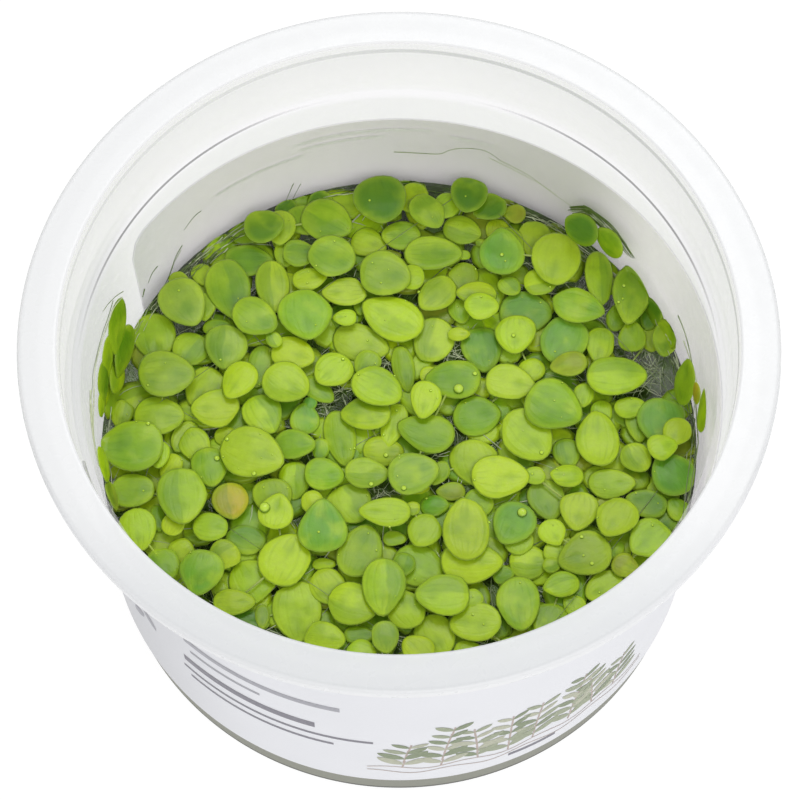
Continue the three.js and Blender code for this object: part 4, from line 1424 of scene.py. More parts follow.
@dataclass
class FloatingColony:
    """Mother and daughter fronds that float together and stand for one CAD node."""

    number: int
    fronds: tuple[Frond, ...]
    form: FrondForm
    tilt: float = 4.5
    curl: float = 0.9
    seed_step: int = 7919

    def height(self, frond: Frond) -> float:
        """Height of a frond's mid-plane in millimetres."""
        return self.form.mat_level + frond.layer * self.form.layer_step

    def mother(self, index: int) -> Frond:
        """Finds the nearest frond of those before one.

        Args:
            index: The daughter's place in the colony.

        Returns:
            The mother.
        """
        daughter = self.fronds[index]

        def gap(other: Frond) -> float:
            """Measures the plan gap from another frond to the daughter.

            Args:
                other: The other frond.

            Returns:
                The gap in millimetres.
            """
            bearing = math.atan2(daughter.y - other.y, daughter.x - other.x)
            distance = math.hypot(daughter.x - other.x, daughter.y - other.y)
            return distance - other.reach(bearing) - daughter.reach(bearing + math.pi)

        return min(self.fronds[:index], key=gap)

    def add_stalk(self, bm: bmesh.types.BMesh, index: int) -> None:
        """Adds the stalk that joins a daughter to its mother.

        Args:
            bm: The colony's bmesh.
            index: The daughter's place in the colony.
        """
        daughter, mother = self.fronds[index], self.mother(index)
        bearing = math.atan2(daughter.y - mother.y, daughter.x - mother.x)
        along = Vector((math.cos(bearing), math.sin(bearing), 0))
        distance = math.hypot(daughter.x - mother.x, daughter.y - mother.y)
        edge = distance - daughter.reach(bearing + math.pi)
        inset = min(edge, mother.reach(bearing) - self.form.stalk_reach)
        low = min(self.height(mother), self.height(daughter)) - self.form.stalk_drop
        middle = Vector((mother.x, mother.y, low))
        self.form.stalk(bm, middle + along * inset, middle + along * (edge + self.form.stalk_reach))

    def build(self, finishes: Finishes) -> bpy.types.Object:
        """Makes the colony's piece.

        Args:
            finishes: Every finish.

        Returns:
            The piece.
        """
        rng = random.Random(self.number * self.seed_step)
        bm = self.form.new_mesh()
        for index, frond in enumerate(self.fronds):
            verts = self.form.disc(bm, frond.length, frond.width, frond.tone, rng)
            lean = Vector((rng.uniform(-1, 1), rng.uniform(-1, 1), 0)).normalized()
            steadiness = min(1.0, self.form.full_length / frond.length)
            angle = math.radians(self.tilt * rng.uniform(0.2, 1.0)) * steadiness
            matrix = (
                Matrix.Translation((frond.x, frond.y, self.height(frond)))
                @ Matrix.Rotation(angle, 4, lean)
                @ Matrix.Rotation(math.radians(frond.heading), 4, "Z")
            )
            bmesh.ops.transform(bm, matrix=matrix, verts=verts)
            self.form.keep_inside(verts, self.curl)
            if index:
                self.add_stalk(bm, index)
        name, node = (f"{word}_{self.number:02d}" for word in ("duckweed", "colony"))
        return finished(name, mesh_of(bm), finishes.frond, Slot.DUCKWEED, node)


@dataclass
class LeaningColony:
    """Fronds that stand against the wall above the water."""

    node: str
    fronds: tuple[LeaningFrond, ...]
    form: FrondForm

    def build(self, finishes: Finishes) -> bpy.types.Object:
        """Makes the colony's piece.

        Args:
            finishes: Every finish.

        Returns:
            The piece.
        """
        rng = random.Random(sum(map(ord, self.node)))
        bm = self.form.new_mesh()
        for frond in self.fronds:
            self.form.stand(bm, frond, rng)
        name = self.node.replace("leaning_colony", "leaning_duckweed")
        return finished(name, mesh_of(bm), finishes.frond, Slot.DUCKWEED, self.node)


@dataclass
class YoungFronds:
    """Small fronds that fill the gaps, just under the edges of the others, in millimetres."""

    form: FrondForm
    leaning: tuple[LeaningFrond, ...] = (
        LeaningFrond(166.0, 45.0, 38.0, 10.5, 6.4, 30, 84, T.BRIGHT),
        LeaningFrond(168.5, 44.7, 33.6, 8.4, 6.2, 0, 80, T.BRIGHT),
        LeaningFrond(174.6, 45.0, 36.6, 5.6, 5.0, 10, 84, T.LIGHT),
        LeaningFrond(171.4, 44.3, 32.4, 7.0, 5.0, 0, 60, T.LIGHT),
        LeaningFrond(22.4, 44.5, 33.4, 5.6, 4.6, 10, 60, T.GRASS),
        LeaningFrond(28.0, 44.4, 33.2, 5.4, 4.0, 0, 64, T.DEEP),
    )
    tones: tuple[Tone, ...] = (
        T.BRIGHT, T.BRIGHT, T.LIGHT, T.LIGHT, T.GRASS, T.GRASS, T.GRASS, T.DEEP, T.OLIVE,
    )
    spacing: float = 4.2
    open_margin: float = 2.6
    reach: float = 43.6
    height: float = 31.02
    unevenness: Pair = (-0.1, 0.08)
    lengths: Pair = (5.2, 8.4)
    widths: Pair = (0.7, 0.88)
    tilt: float = 2.0
    curl: float = 0.6
    tries: int = 4000
    seed: int = 23

    def spots(self, rng: random.Random) -> list[Pair]:
        """Finds places that keep their distance from each other and from open water.

        Args:
            rng: Source of the places.

        Returns:
            The places.
        """
        found: list[Pair] = []
        for _ in range(self.tries):
            spot = scattered(rng, self.reach)
            if any(math.dist(spot, (x, y)) < radius + self.open_margin for x, y, radius in OPEN_SPOTS):
                continue
            if all(math.dist(spot, other) > self.spacing for other in found):
                found.append(spot)
        return found

    def build(self, finishes: Finishes) -> bpy.types.Object:
        """Makes the joined young fronds.

        Args:
            finishes: Every finish.

        Returns:
            The piece.
        """
        rng = random.Random(self.seed)
        bm = self.form.new_mesh()
        for x, y in self.spots(rng):
            length = rng.uniform(*self.lengths)
            width = length * rng.uniform(*self.widths)
            verts = self.form.disc(bm, length, width, rng.choice(self.tones), rng)
            matrix = (
                Matrix.Translation((x, y, self.height + rng.uniform(*self.unevenness)))
                @ Matrix.Rotation(math.radians(rng.uniform(-self.tilt, self.tilt)), 4, "X")
                @ Matrix.Rotation(rng.uniform(0, math.tau), 4, "Z")
            )
            bmesh.ops.transform(bm, matrix=matrix, verts=verts)
            self.form.keep_inside(verts, self.curl)
        for frond in self.leaning:
            self.form.stand(bm, frond, rng)
        return finished("young_duckweed", mesh_of(bm), finishes.frond, Slot.DUCKWEED)


@dataclass
class Cup:
    """Thin moulded cup: foot ring, drafted wall, ledge, throat and flat rim with a bead, in millimetres.

    A corner is its radius from the axis, its height and its rounding.
    """

    steps: int = 256
    arc_steps: int = 5
    guard: float = 1.5
    sharp: float = 50.0
    corners: tuple[Triple, ...] = (
        (0.0, 0.8, 0.0), (40.2, 0.8, 0.3), (41.0, 0.0, 0.3), (45.2, 0.0, 1.5), (47.0, 54.1, 0.4),
        (48.1, 55.15, 0.5), (49.2, 66.0, 1.0), (52.8, 66.0, 0.0), (52.8, 65.1, 0.15), (54.0, 65.1, 0.4),
        (54.0, 67.0, 0.7), (48.3, 67.0, 0.45), (47.2, 55.6, 0.25), (46.1, 55.0, 0.25), (44.3, 2.0, 1.5),
        (0.0, 2.0, 0.0),
    )

    def profile(self) -> list[Vector]:
        """Rounds the corners, with points that keep the flats beside them flat.

        Returns:
            The profile, with radius in X and height in Z.
        """
        spots = [Vector((radius, 0, height)) for radius, height, _ in self.corners]
        points = [spots[0]]
        for before, spot, after, (_, _, rounding) in zip(spots, spots[1:], spots[2:], self.corners[1:]):
            if not rounding:
                points.append(spot)
                continue
            guard = min(rounding * self.guard, (before - spot).length * 0.45, (after - spot).length * 0.45)
            sides = [(other - spot).normalized() for other in (before, after)]
            first, last = (spot + side * min(rounding, guard * 0.9) for side in sides)
            points.append(spot + sides[0] * guard)
            for step in range(self.arc_steps + 1):
                share = step / self.arc_steps
                points.append(first.lerp(spot, share).lerp(spot.lerp(last, share), share))
            points.append(spot + sides[1] * guard)
        return [*points, spots[-1]]

    def build(self, finishes: Finishes) -> bpy.types.Object:
        """Spins the profile."""
        mesh = spun(self.profile(), self.steps, self.sharp)
        return finished("milky_cup", mesh, finishes.plastic, Slot.CUP, "cup")


@dataclass
class WrapLabel:
    """Paper label round the wall, open at the left, in millimetres and degrees."""

    start: float = -168.0
    end: float = 149.0
    bottom: float = 7.0
    top: float = 49.0
    back_sag: float = 2.0
    corner: float = 4.0
    thickness: float = 0.25
    columns: int = 200
    rows: int = 10
    crowding: float = 0.96
    sharp: float = 40.0
    paper_glow: float = 0.11
    middle_dip: float = 0.05
    right_glow: float = 0.4
    left_glow: float = 0.13
    water_glow: float = 0.09
    water_heights: Pair = (30.0, 43.0)
    end_fade: float = 0.6
    end_reach: float = 16.0
    end_soft: float = 14.0

    @property
    def mean_height(self) -> float:
        """Height of the label's middle."""
        return (self.bottom + self.top) / 2

    @property
    def radius(self) -> float:
        """Radius of the wall behind the label's middle."""
        return WALL.outer(self.mean_height)

    @property
    def facing(self) -> float:
        """Bearing of the label's middle in radians."""
        return math.radians((self.start + self.end) / 2)

    def point(self, along: float, height: float, lift: float) -> Vector:
        """Finds a point on the wrapped label.

        Args:
            along: Distance along the label from its middle.
            height: Height above the cup's foot.
            lift: Distance outwards from the wall.

        Returns:
            The point in millimetres.
        """
        angle = self.facing + along / self.radius
        reach = WALL.outer(height) + lift
        return Vector((reach * math.cos(angle), reach * math.sin(angle), height))

    def through(self, bearing: float, height: float) -> float:
        """Finds the light that comes through the paper, more at the sides and near the water.

        Args:
            bearing: Bearing in radians.
            height: Height above the cup's foot.

        Returns:
            Its strength.
        """
        across = math.cos(bearing)
        low, high = self.water_heights
        dip = self.middle_dip * smooth_step(across / 0.45)
        right = self.right_glow * smooth_step((across - 0.55) / 0.35)
        left = self.left_glow * max(0.0, -across)
        water = self.water_glow * smooth_step((high - height) / (high - low))
        return self.paper_glow - dip + right + left + water

    def build(self, finishes: Finishes) -> bpy.types.Object:
        """Bends a flat sheet with round corners round the wall.

        Args:
            finishes: Every finish.

        Returns:
            The piece.
        """
        half_length = self.radius * math.radians(self.end - self.start) / 2
        half_height = (self.top - self.bottom) / 2
        bm = bmesh.new()
        back, glow = (bm.verts.layers.float.new(name) for name in ("back", "glow"))
        bmesh.ops.create_grid(bm, x_segments=self.columns, y_segments=self.rows, size=1)
        bmesh.ops.solidify(bm, geom=bm.faces[:], thickness=self.thickness)
        outside = max(vert.co.z for vert in bm.verts)
        for vert in bm.verts:
            share, rise, depth = vert.co
            side = 1.0 if outside - depth < self.thickness / 2 else 0.0
            along = math.copysign(abs(share) ** self.crowding, share) * half_length
            into = max(0.0, abs(along) - half_length + self.corner)
            reach = half_height - self.corner + math.sqrt(max(0.0, self.corner ** 2 - into ** 2))
            height = self.mean_height + rise * reach
            bearing = self.facing + along / self.radius
            height -= self.back_sag * max(0.0, rise) * max(0.0, math.sin(bearing))
            vert.co = self.point(along, height, CLEARANCE + side * self.thickness)
            near_end = smooth_step((along - half_length + self.end_reach) / self.end_soft)
            vert[back] = (1.0 - side) * (1.0 - self.end_fade * near_end)
            vert[glow] = (1.0 - side) * self.through(bearing, height)
        bmesh.ops.recalc_face_normals(bm, faces=bm.faces)
        return finished("wrap_label", mesh_of(bm, sharp=self.sharp), finishes.paper, Slot.LABEL, "label")


@dataclass
class LabelPrint:
    """Generic print: plain bars on the left, a row of upright water plants on the right."""

    label: WrapLabel
    lift: float = CLEARANCE + 0.25 + 0.03
    show_through: float = 0.17
    cell: float = 0.9
    greys: tuple[Rgb, ...] = ((160, 160, 168), (122, 120, 130))
    leaves: tuple[Rgb, ...] = ((126, 138, 106), (152, 160, 132), (178, 180, 158))
    stem: Rgb = (182, 166, 158)
    ghost: Rgb = (250, 250, 248)
    bar_rows: tuple[tuple[float, float, float, float, int], ...] = (
        (-116, 39.0, 25.0, 1.7, 0), (-123, 34.9, 12.0, 0.9, 0), (-119, 29.6, 22.0, 2.2, 1),
        (-114, 25.4, 31.0, 0.9, 1), (-117, 22.4, 24.0, 0.9, 1), (-64, 10.4, 8.0, 1.1, 1),
    )
    back_rows: tuple[Color, ...] = (
        (97, 44.4, 21.0, 0.8), (101, 42.6, 13.0, 0.8), (118, 40.9, 15.0, 0.8), (76, 43.4, 7.0, 0.8),
    )
    loose_leaves: tuple[Triple, ...] = ((-146, 33.0, 62), (-142.5, 29.5, 118), (-146.5, 26.0, 58))
    loose_size: Pair = (5.4, 2.0)
    sprig_count: int = 8
    sprig_start: float = -89.0
    sprig_step: float = 6.4
    sprig_foot: float = 15.5
    sprig_heights: Pair = (9.0, 19.0)
    sprig_lean: float = 0.16
    sprig_shake: float = 0.6
    node_gap: float = 3.0
    stem_size: Pair = (3.2, 0.3)
    leaf_length: float = 5.2
    leaf_shrink: float = 2.0
    leaf_sizes: Pair = (0.85, 1.1)
    leaf_spread: float = 52.0
    leaf_shake: float = 9.0
    leaf_offset: float = 0.52
    leaf_width: float = 0.4
    leaf_lift: float = 0.01
    wave_start: float = -96.0
    wave_step: float = 1.28
    wave_count: int = 46
    wave_lines: int = 2
    wave_height: float = 13.6
    wave_gap: float = 2.0
    wave_size: float = 0.7
    wave_turn: float = 0.55
    wave_overlap: float = 0.05
    wave_width: float = 0.28
    seed: int = 41

    def along(self, bearing: float) -> float:
        """Distance along the label of a bearing in degrees."""
        return math.radians(bearing - (self.label.start + self.label.end) / 2) * self.label.radius

    def shape(
        self, bm: bmesh.types.BMesh, centre: Pair, size: Pair, turn: float, ink: Rgb, lift: float,
        leaf: bool = False,
    ) -> None:
        """Adds one printed bar or leaf, wrapped on the label.

        Args:
            bm: The print's bmesh.
            centre: Distance along the label and height, in millimetres.
            size: Length and width in millimetres.
            turn: Turn from level in degrees.
            ink: Its colour.
            lift: Distance outwards from the wall.
            leaf: Whether its ends are drawn to points.
        """
        layer = bm.verts.layers.float_color["ink"]
        columns, rows = (max(1, math.ceil(extent / self.cell)) for extent in size)
        sheet = bmesh.ops.create_grid(bm, x_segments=columns + 3 * leaf, y_segments=rows, size=1)
        cos, sin = math.cos(math.radians(turn)), math.sin(math.radians(turn))
        for vert in sheet["verts"]:
            x, y, _ = vert.co
            if leaf:
                y *= max(0.03, 1 - abs(x) ** 2.2) ** 0.8
            dx, dy = x * size[0] / 2, y * size[1] / 2
            vert.co = self.label.point(centre[0] + dx * cos - dy * sin, centre[1] + dx * sin + dy * cos, lift)
            vert[layer] = linear(ink)

    def bars(self, bm: bmesh.types.BMesh) -> None:
        """Adds the bars and leaves at the front left, and a small bar at the right.

        Args:
            bm: The print's bmesh.
        """
        for bearing, height, length, width, grey in self.bar_rows:
            self.shape(bm, (self.along(bearing), height), (length, width), 0, self.greys[grey], self.lift)
        for bearing, height, turn in self.loose_leaves:
            spot = (self.along(bearing), height)
            self.shape(bm, spot, self.loose_size, turn, self.greys[0], self.lift, True)

    def sprig(
        self, bm: bmesh.types.BMesh, rng: random.Random, root: float, foot: float, height: float,
    ) -> None:
        """Adds one upright stem with pairs of leaves.

        Args:
            bm: The print's bmesh.
            rng: Source of its variation.
            root: Distance of its foot along the label.
            foot: Height of its foot.
            height: Its own height.
        """
        lean = rng.uniform(-self.sprig_lean, self.sprig_lean)
        steps = round(height / self.node_gap)
        for step in range(steps):
            share = step / steps
            spot = (root + lean * height * share ** 1.4, foot + height * share)
            self.shape(bm, spot, self.stem_size, 90 - math.degrees(lean), self.stem, self.lift)
            length = (self.leaf_length - self.leaf_shrink * share) * rng.uniform(*self.leaf_sizes)
            size = (length, length * self.leaf_width)
            for side in (1, -1):
                turn = 90 - side * (self.leaf_spread + rng.uniform(-self.leaf_shake, self.leaf_shake))
                reach = length * self.leaf_offset
                angle = math.radians(turn)
                centre = (spot[0] + reach * math.cos(angle), spot[1] + reach * math.sin(angle))
                self.shape(bm, centre, size, turn, rng.choice(self.leaves), self.lift + self.leaf_lift, True)

    def plants(self, bm: bmesh.types.BMesh) -> None:
        """Adds the row of sprigs over two wavy lines.

        Args:
            bm: The print's bmesh.
        """
        rng = random.Random(self.seed)
        for index in range(self.sprig_count):
            root = self.along(self.sprig_start + index * self.sprig_step + rng.uniform(-1, 1))
            foot = self.sprig_foot + rng.uniform(-self.sprig_shake, self.sprig_shake)
            self.sprig(bm, rng, root, foot, rng.uniform(*self.sprig_heights))
        for line in range(self.wave_lines):
            level = self.wave_height - self.wave_gap * line
            for index in range(self.wave_count):
                ends = (index, index + 1)
                here, after = (self.along(self.wave_start + step * self.wave_step) for step in ends)
                low, high = (level + self.wave_size * math.sin(step * self.wave_turn + line) for step in ends)
                size = (math.hypot(after - here, high - low) + self.wave_overlap, self.wave_width)
                turn = math.degrees(math.atan2(high - low, after - here))
                self.shape(bm, ((here + after) / 2, (low + high) / 2), size, turn, self.stem, self.lift)

    def build(self, finishes: Finishes) -> bpy.types.Object:
        """Makes the joined print, with faint bars that show through at the inside back.

        Args:
            finishes: Every finish.

        Returns:
            The piece.
        """
        bm = bmesh.new()
        bm.verts.layers.float_color.new("ink")
        self.bars(bm)
        self.plants(bm)
        for bearing, height, length, width in self.back_rows:
            self.shape(bm, (self.along(bearing), height), (length, width), 0, self.ghost, self.show_through)
        bmesh.ops.recalc_face_normals(bm, faces=bm.faces)
        return finished("label_print", mesh_of(bm), finishes.ink, Slot.LABEL)


@dataclass
class Water:
    """The water in the cup, with a raised edge where it meets the wall, in millimetres."""

    steps: int = 112
    wall_gap: float = 0.12
    sharp: float = 40.0
    foot: tuple[Pair, ...] = ((0.0, 2.35), (42.7, 2.35), (43.8, 2.9))
    foot_height: float = 4.0
    raised: tuple[Pair, ...] = ((0.0, 0.55), (0.35, 0.2), (1.0, 0.0))
    flat_radius: float = 30.0

    def build(self, finishes: Finishes) -> bpy.types.Object:
        """Spins the water's profile.

        Args:
            finishes: Every finish.

        Returns:
            The piece.
        """
        edge = WALL.inner(WATER_LEVEL) - self.wall_gap
        points = (
            *self.foot, (WALL.inner(self.foot_height) - self.wall_gap, self.foot_height),
            *((edge - inset, WATER_LEVEL + rise) for inset, rise in self.raised),
            (self.flat_radius, WATER_LEVEL), (0.0, WATER_LEVEL),
        )
        mesh = spun([Vector((radius, 0, height)) for radius, height in points], self.steps, self.sharp)
        return finished("pond_water", mesh, finishes.water, Slot.WATER, "water")


def flowing(spots: tuple[Pair, ...], steps: int = 4) -> list[Pair]:
    """Finds points along a smooth curve through the spots.

    Args:
        spots: The points that the curve goes through.
        steps: Pieces between two of them.

    Returns:
        The curve's points.
    """
    found = []
    padded = (spots[0], *spots, spots[-1])
    for stretch in zip(padded, padded[1:], padded[2:], padded[3:]):
        for step in range(steps):
            share = step / steps
            weights = (
                share * (share * (2 - share) - 1), share ** 2 * (3 * share - 5) + 2,
                share * (1 + share * (4 - 3 * share)), share ** 2 * (share - 1),
            )
            found.append(tuple(
                sum(weight * spot[axis] for weight, spot in zip(weights, stretch)) / 2 for axis in range(2)
            ))
    return [*found, spots[-1]]


@dataclass
class Thread:
    """One fine root, as points in millimetres."""

    points: list[Vector]
    radius: float


@dataclass
class Roots:
    """Fine roots: a felt under the mat, threads that hang from the fronds, and threads left on the wall.

    A strand is its shade, its radius, and its spots as bearing and height. A bundle is its first and last
    bearing, its count, shade, spread in height, and depth.
    """

    fronds: tuple[Frond, ...]
    seed: int = 5
    groups: dict[float, list[Thread]] = field(default_factory=dict)
    taper: float = 0.6
    top: float = 31.0
    radii: Pair = (0.06, 0.12)
    felt_count: int = 560
    felt_reach: float = 43.5
    felt_shades: tuple[float, ...] = (0.1, 0.3, 0.5, 0.7)
    felt_bend: float = 0.3
    felt_steps: Pair = (1.0, 2.2)
    felt_starts: Pair = (30.7, 31.2)
    felt_levels: Pair = (30.6, 31.25)
    hanging_count: int = 3
    hanging_shades: Pair = (0.0, 0.35)
    hanging_radii: Pair = (0.06, 0.1)
    hanging_spread: float = 0.6
    hanging_drift: float = 1.4
    hanging_depths: Pair = (2.0, 5.2)
    hanging_gap: float = 1.0
    strand_gap: float = 0.4
    strands: tuple[tuple[float, float, tuple[Pair, ...]], ...] = (
        (0.7, 0.09, ((156.2, 44.9), (158.6, 46.8), (161.8, 48.8), (164.4, 50.0))),
        (0.8, 0.07, (
            (160, 47.3), (163, 46.3), (166.4, 46.3), (171, 46.2), (175.3, 46.6), (178, 45.8), (184, 47.4),
        )),
        (0.0, 0.13, ((157, 44.1), (160.6, 45.6), (163.5, 45.2), (168.5, 45.4), (173.6, 45.6), (176.7, 44.4))),
        (0.0, 0.12, ((176.7, 44.4), (180, 43.2), (185, 43.6), (188.4, 43.3), (190.6, 42.3))),
        (0.0, 0.16, ((179, 47.0), (183, 46.4), (187, 44.8), (190, 42.6), (191, 40.6))),
        (0.1, 0.12, ((181, 45.6), (184, 44.8), (188, 43.0), (190.5, 40.4))),
        (1.0, 0.07, ((132.1, 42.4), (134.0, 42.3), (136.8, 41.1))),
        (1.0, 0.08, ((145.1, 38.9), (146.9, 38.8), (148.5, 37.7))),
        (1.0, 0.08, ((137.9, 37.5), (140, 36.2), (142.6, 33.1), (145.6, 31.3))),
        (0.8, 0.06, ((138.4, 36.6), (140.4, 35.2), (142.9, 32.6), (145.2, 31.2))),
        (1.0, 0.12, ((149.9, 37.5), (150.9, 36.2))),
        (1.0, 0.07, ((110, 35.5), (111.1, 33.4), (112.1, 31.4))),
        (0.7, 0.09, ((91, 40.4), (86, 40.2), (82, 40.5), (80, 42.0), (77, 43.3), (73, 43.9), (70, 42.6))),
        (0.5, 0.07, ((70, 42.4), (67, 41.8), (63, 41.0), (60, 39.9), (56, 39.0), (52, 38.8))),
        (0.4, 0.06, ((72, 42.2), (66, 40.9), (61, 40.2), (57, 39.6))),
        (0.9, 0.09, ((51.1, 41.2), (49.5, 41.7), (48.0, 41.6))),
        (0.6, 0.10, ((21, 41.0), (17, 40.6), (13.5, 39.6), (10, 38.2), (7, 36.2), (5, 33.6))),
        (0.2, 0.10, ((17, 38.4), (12.5, 38.5), (7, 38.9), (5.5, 34.1), (3.5, 31.6))),
        (0.8, 0.12, ((14, 36.8), (10, 36.9), (6, 36.0), (3, 33.4), (359, 32.0), (352, 31.6))),
        (0.9, 0.10, ((111.5, 36.2), (112.5, 34.0), (113.4, 31.8))),
    )
    bundles: tuple[tuple[float, float, int, float, float, float], ...] = (
        (127, 152, 70, 0.9, 0.3, 2.8), (34, 60, 50, 0.6, 0.4, 3.0), (2, 24, 26, 0.6, 1.2, 1.6),
        (150, 178, 16, 0.6, 0.8, 1.4), (184, 200, 14, 0.4, 1.0, 1.4), (60, 127, 24, 0.7, 0.3, 1.6),
        (200, 360, 60, 0.5, 0.4, 1.4),
    )
    bundle_steps: int = 5
    bundle_level: float = 31.2
    bundle_sweeps: Pair = (3.0, 9.0)
    sheaf_outer: tuple[Pair, ...] = (
        (54.0, 38.8), (50.4, 41.6), (47.0, 42.0), (43.7, 42.0), (40.6, 41.2), (37.2, 39.6),
    )
    sheaf_inner: tuple[Pair, ...] = (
        (53.6, 37.6), (50.6, 40.0), (48.1, 39.8), (45.6, 39.5), (42.9, 39.5), (39.6, 38.9),
    )
    sheaf_count: int = 26
    sheaf_shades: tuple[float, ...] = (0.0, 0.4, 0.7, 1.0, 1.0)
    sheaf_spread: float = 0.14
    sheaf_shift: Pair = (-1.1, 0.6)
    tuft_share: float = 7.0
    tuft_starts: Pair = (30.9, 31.4)
    tuft_pieces: int = 7
    tuft_bend: float = 0.45
    tuft_step: float = 0.5
    tuft_shades: tuple[float, ...] = (0.0, 0.2, 0.5)
    tuft_radii: Pair = (0.035, 0.075)

    def put(self, shade: float, points: list[Vector], radius: float) -> None:
        """Files a thread under its shade."""
        self.groups.setdefault(shade, []).append(Thread(points, radius))

    def felt(self, rng: random.Random) -> None:
        """Adds threads that lie in the water's surface between the fronds.

        Args:
            rng: Source of their places and shapes.
        """
        low, high = self.felt_levels
        for _ in range(self.felt_count):
            x, y = scattered(rng, self.felt_reach)
            heading = rng.uniform(0, math.tau)
            bend = rng.uniform(-self.felt_bend, self.felt_bend)
            step = rng.uniform(*self.felt_steps)
            spot = Vector((x, y, rng.uniform(*self.felt_starts)))
            points = [spot.copy()]
            for _ in range(5):
                heading += bend * rng.uniform(0.2, 1.0)
                spot += Vector((math.cos(heading) * step, math.sin(heading) * step, rng.uniform(-0.12, 0.08)))
                spot.z = min(high, max(low, spot.z))
                WALL.hold(spot, CLEARANCE)
                points.append(spot.copy())
            self.put(rng.choice(self.felt_shades), points, rng.uniform(*self.radii))

    def hanging(self, rng: random.Random) -> None:
        """Adds threads that hang in the water under each frond.

        Args:
            rng: Source of their places and shapes.
        """
        spread, swing = self.hanging_spread, self.hanging_drift
        for frond in self.fronds:
            for _ in range(self.hanging_count):
                x, y = (place + rng.uniform(-spread, spread) for place in (frond.x, frond.y))
                spot = Vector((x, y, self.top))
                drift = Vector((rng.uniform(-swing, swing), rng.uniform(-swing, swing), 0))
                drift.z = -rng.uniform(*self.hanging_depths)
                points = [spot.copy()]
                for _ in range(4):
                    spot += drift
                    drift += Vector((rng.uniform(-spread, spread), rng.uniform(-spread, spread), 0))
                    WALL.hold(spot, self.hanging_gap)
                    points.append(spot.copy())
                self.put(rng.choice(self.hanging_shades), points, rng.uniform(*self.hanging_radii))

    def wall(self, rng: random.Random) -> None:
        """Adds threads stuck to the wall above the water.

        Args:
            rng: Source of the bundles' places and shapes.
        """
        for shade, radius, spots in self.strands:
            self.put(shade, [WALL.on_inside(*spot, self.strand_gap) for spot in flowing(spots)], radius)
        for low, high, count, shade, spread, depth in self.bundles:
            for _ in range(count):
                bearing = rng.uniform(low, high)
                height = self.bundle_level + abs(rng.gauss(0, spread))
                sweep = rng.uniform(*self.bundle_sweeps) * rng.choice((-1, 1))
                rise = rng.uniform(-0.8, 0.8) * spread
                gap = rng.uniform(0.3, depth)
                points = [
                    WALL.on_inside(
                        bearing + sweep * step / self.bundle_steps,
                        max(self.top, height + rise * step / self.bundle_steps + rng.uniform(-0.15, 0.15)),
                        gap + rng.uniform(0, 0.3),
                    )
                    for step in range(self.bundle_steps + 1)
                ]
                self.put(rng.choice((shade, 0.9, 0.2)), points, rng.uniform(*self.radii))

    def sheaf(self, rng: random.Random) -> None:
        """Adds a sheaf of roots on the wall at the back right, between two outlines.

        Args:
            rng: Source of their shapes.
        """
        for index in range(self.sheaf_count):
            share = index / (self.sheaf_count - 1)
            spots = []
            shift = rng.uniform(*self.sheaf_shift)
            for first, last in zip(self.sheaf_outer, self.sheaf_inner):
                own = min(1.0, max(0.0, share + rng.uniform(-self.sheaf_spread, self.sheaf_spread)))
                bearing, height = (a + (b - a) * own for a, b in zip(first, last))
                spots.append((bearing + shift, height))
            gap = 0.4 + rng.uniform(0.0, 0.5)
            points = [WALL.on_inside(*spot, gap) for spot in flowing(tuple(spots))]
            self.put(rng.choice(self.sheaf_shades), points, rng.uniform(*self.radii))

    def tufts(self, rng: random.Random) -> None:
        """Adds pale threads in open water.

        Args:
            rng: Source of their places and shapes.
        """
        for x, y, radius in OPEN_SPOTS:
            for _ in range(round(self.tuft_share * radius)):
                turn = rng.uniform(0, math.tau)
                reach = radius * rng.random()
                heading = rng.uniform(0, math.tau)
                level = rng.uniform(*self.tuft_starts)
                spot = Vector((x + reach * math.cos(turn), y + reach * math.sin(turn), level))
                points = [spot.copy()]
                for _ in range(self.tuft_pieces):
                    heading += rng.uniform(-self.tuft_bend, self.tuft_bend)
                    ahead = Vector((math.cos(heading), math.sin(heading), rng.uniform(-0.25, 0.15)))
                    spot += ahead * self.tuft_step
                    points.append(spot.copy())
                self.put(rng.choice(self.tuft_shades), points, rng.uniform(*self.tuft_radii))

    def tubes(self, threads: list[Thread]) -> bpy.types.Mesh:
        """Turns threads into one mesh of thin four-sided tubes.

        Args:
            threads: The threads.

        Returns:
            The mesh in metres.
        """
        curve = bpy.data.curves.new("threads", "CURVE")
        curve.dimensions = "3D"
        curve.bevel_depth = 1.0
        curve.bevel_resolution = 0
        curve.use_fill_caps = True
        for thread in threads:
            spline = curve.splines.new("POLY")
            spline.points.add(len(thread.points) - 1)
            for index, (target, point) in enumerate(zip(spline.points, thread.points)):
                target.co = (*(point * MM), 1)
                target.radius = thread.radius * MM * (1.0 - self.taper * index / len(thread.points))
        holder = bpy.data.objects.new("threads", curve)
        bpy.context.scene.collection.objects.link(holder)
        bpy.context.view_layer.update()
        mesh = bpy.data.meshes.new_from_object(holder.evaluated_get(bpy.context.evaluated_depsgraph_get()))
        bpy.data.objects.remove(holder)
        bpy.data.curves.remove(curve)
        return mesh

    def build(self, finishes: Finishes) -> bpy.types.Object:
        """Makes the joined roots.

        Args:
            finishes: Every finish.

        Returns:
            The piece.
        """
        rng = random.Random(self.seed)
        for add in (self.felt, self.hanging, self.wall, self.sheaf, self.tufts):
            add(rng)
        bm = bmesh.new()
        layer = bm.verts.layers.float.new("root_shade")
        for shade, threads in sorted(self.groups.items()):
            first = len(bm.verts)
            bm.from_mesh(self.tubes(threads))
            bm.verts.ensure_lookup_table()
            for vert in bm.verts[first:]:
                vert[layer] = shade
        bmesh.ops.recalc_face_normals(bm, faces=bm.faces)
        return finished("duckweed_roots", mesh_of(bm, unit=1.0), finishes.root, Slot.ROOTS)


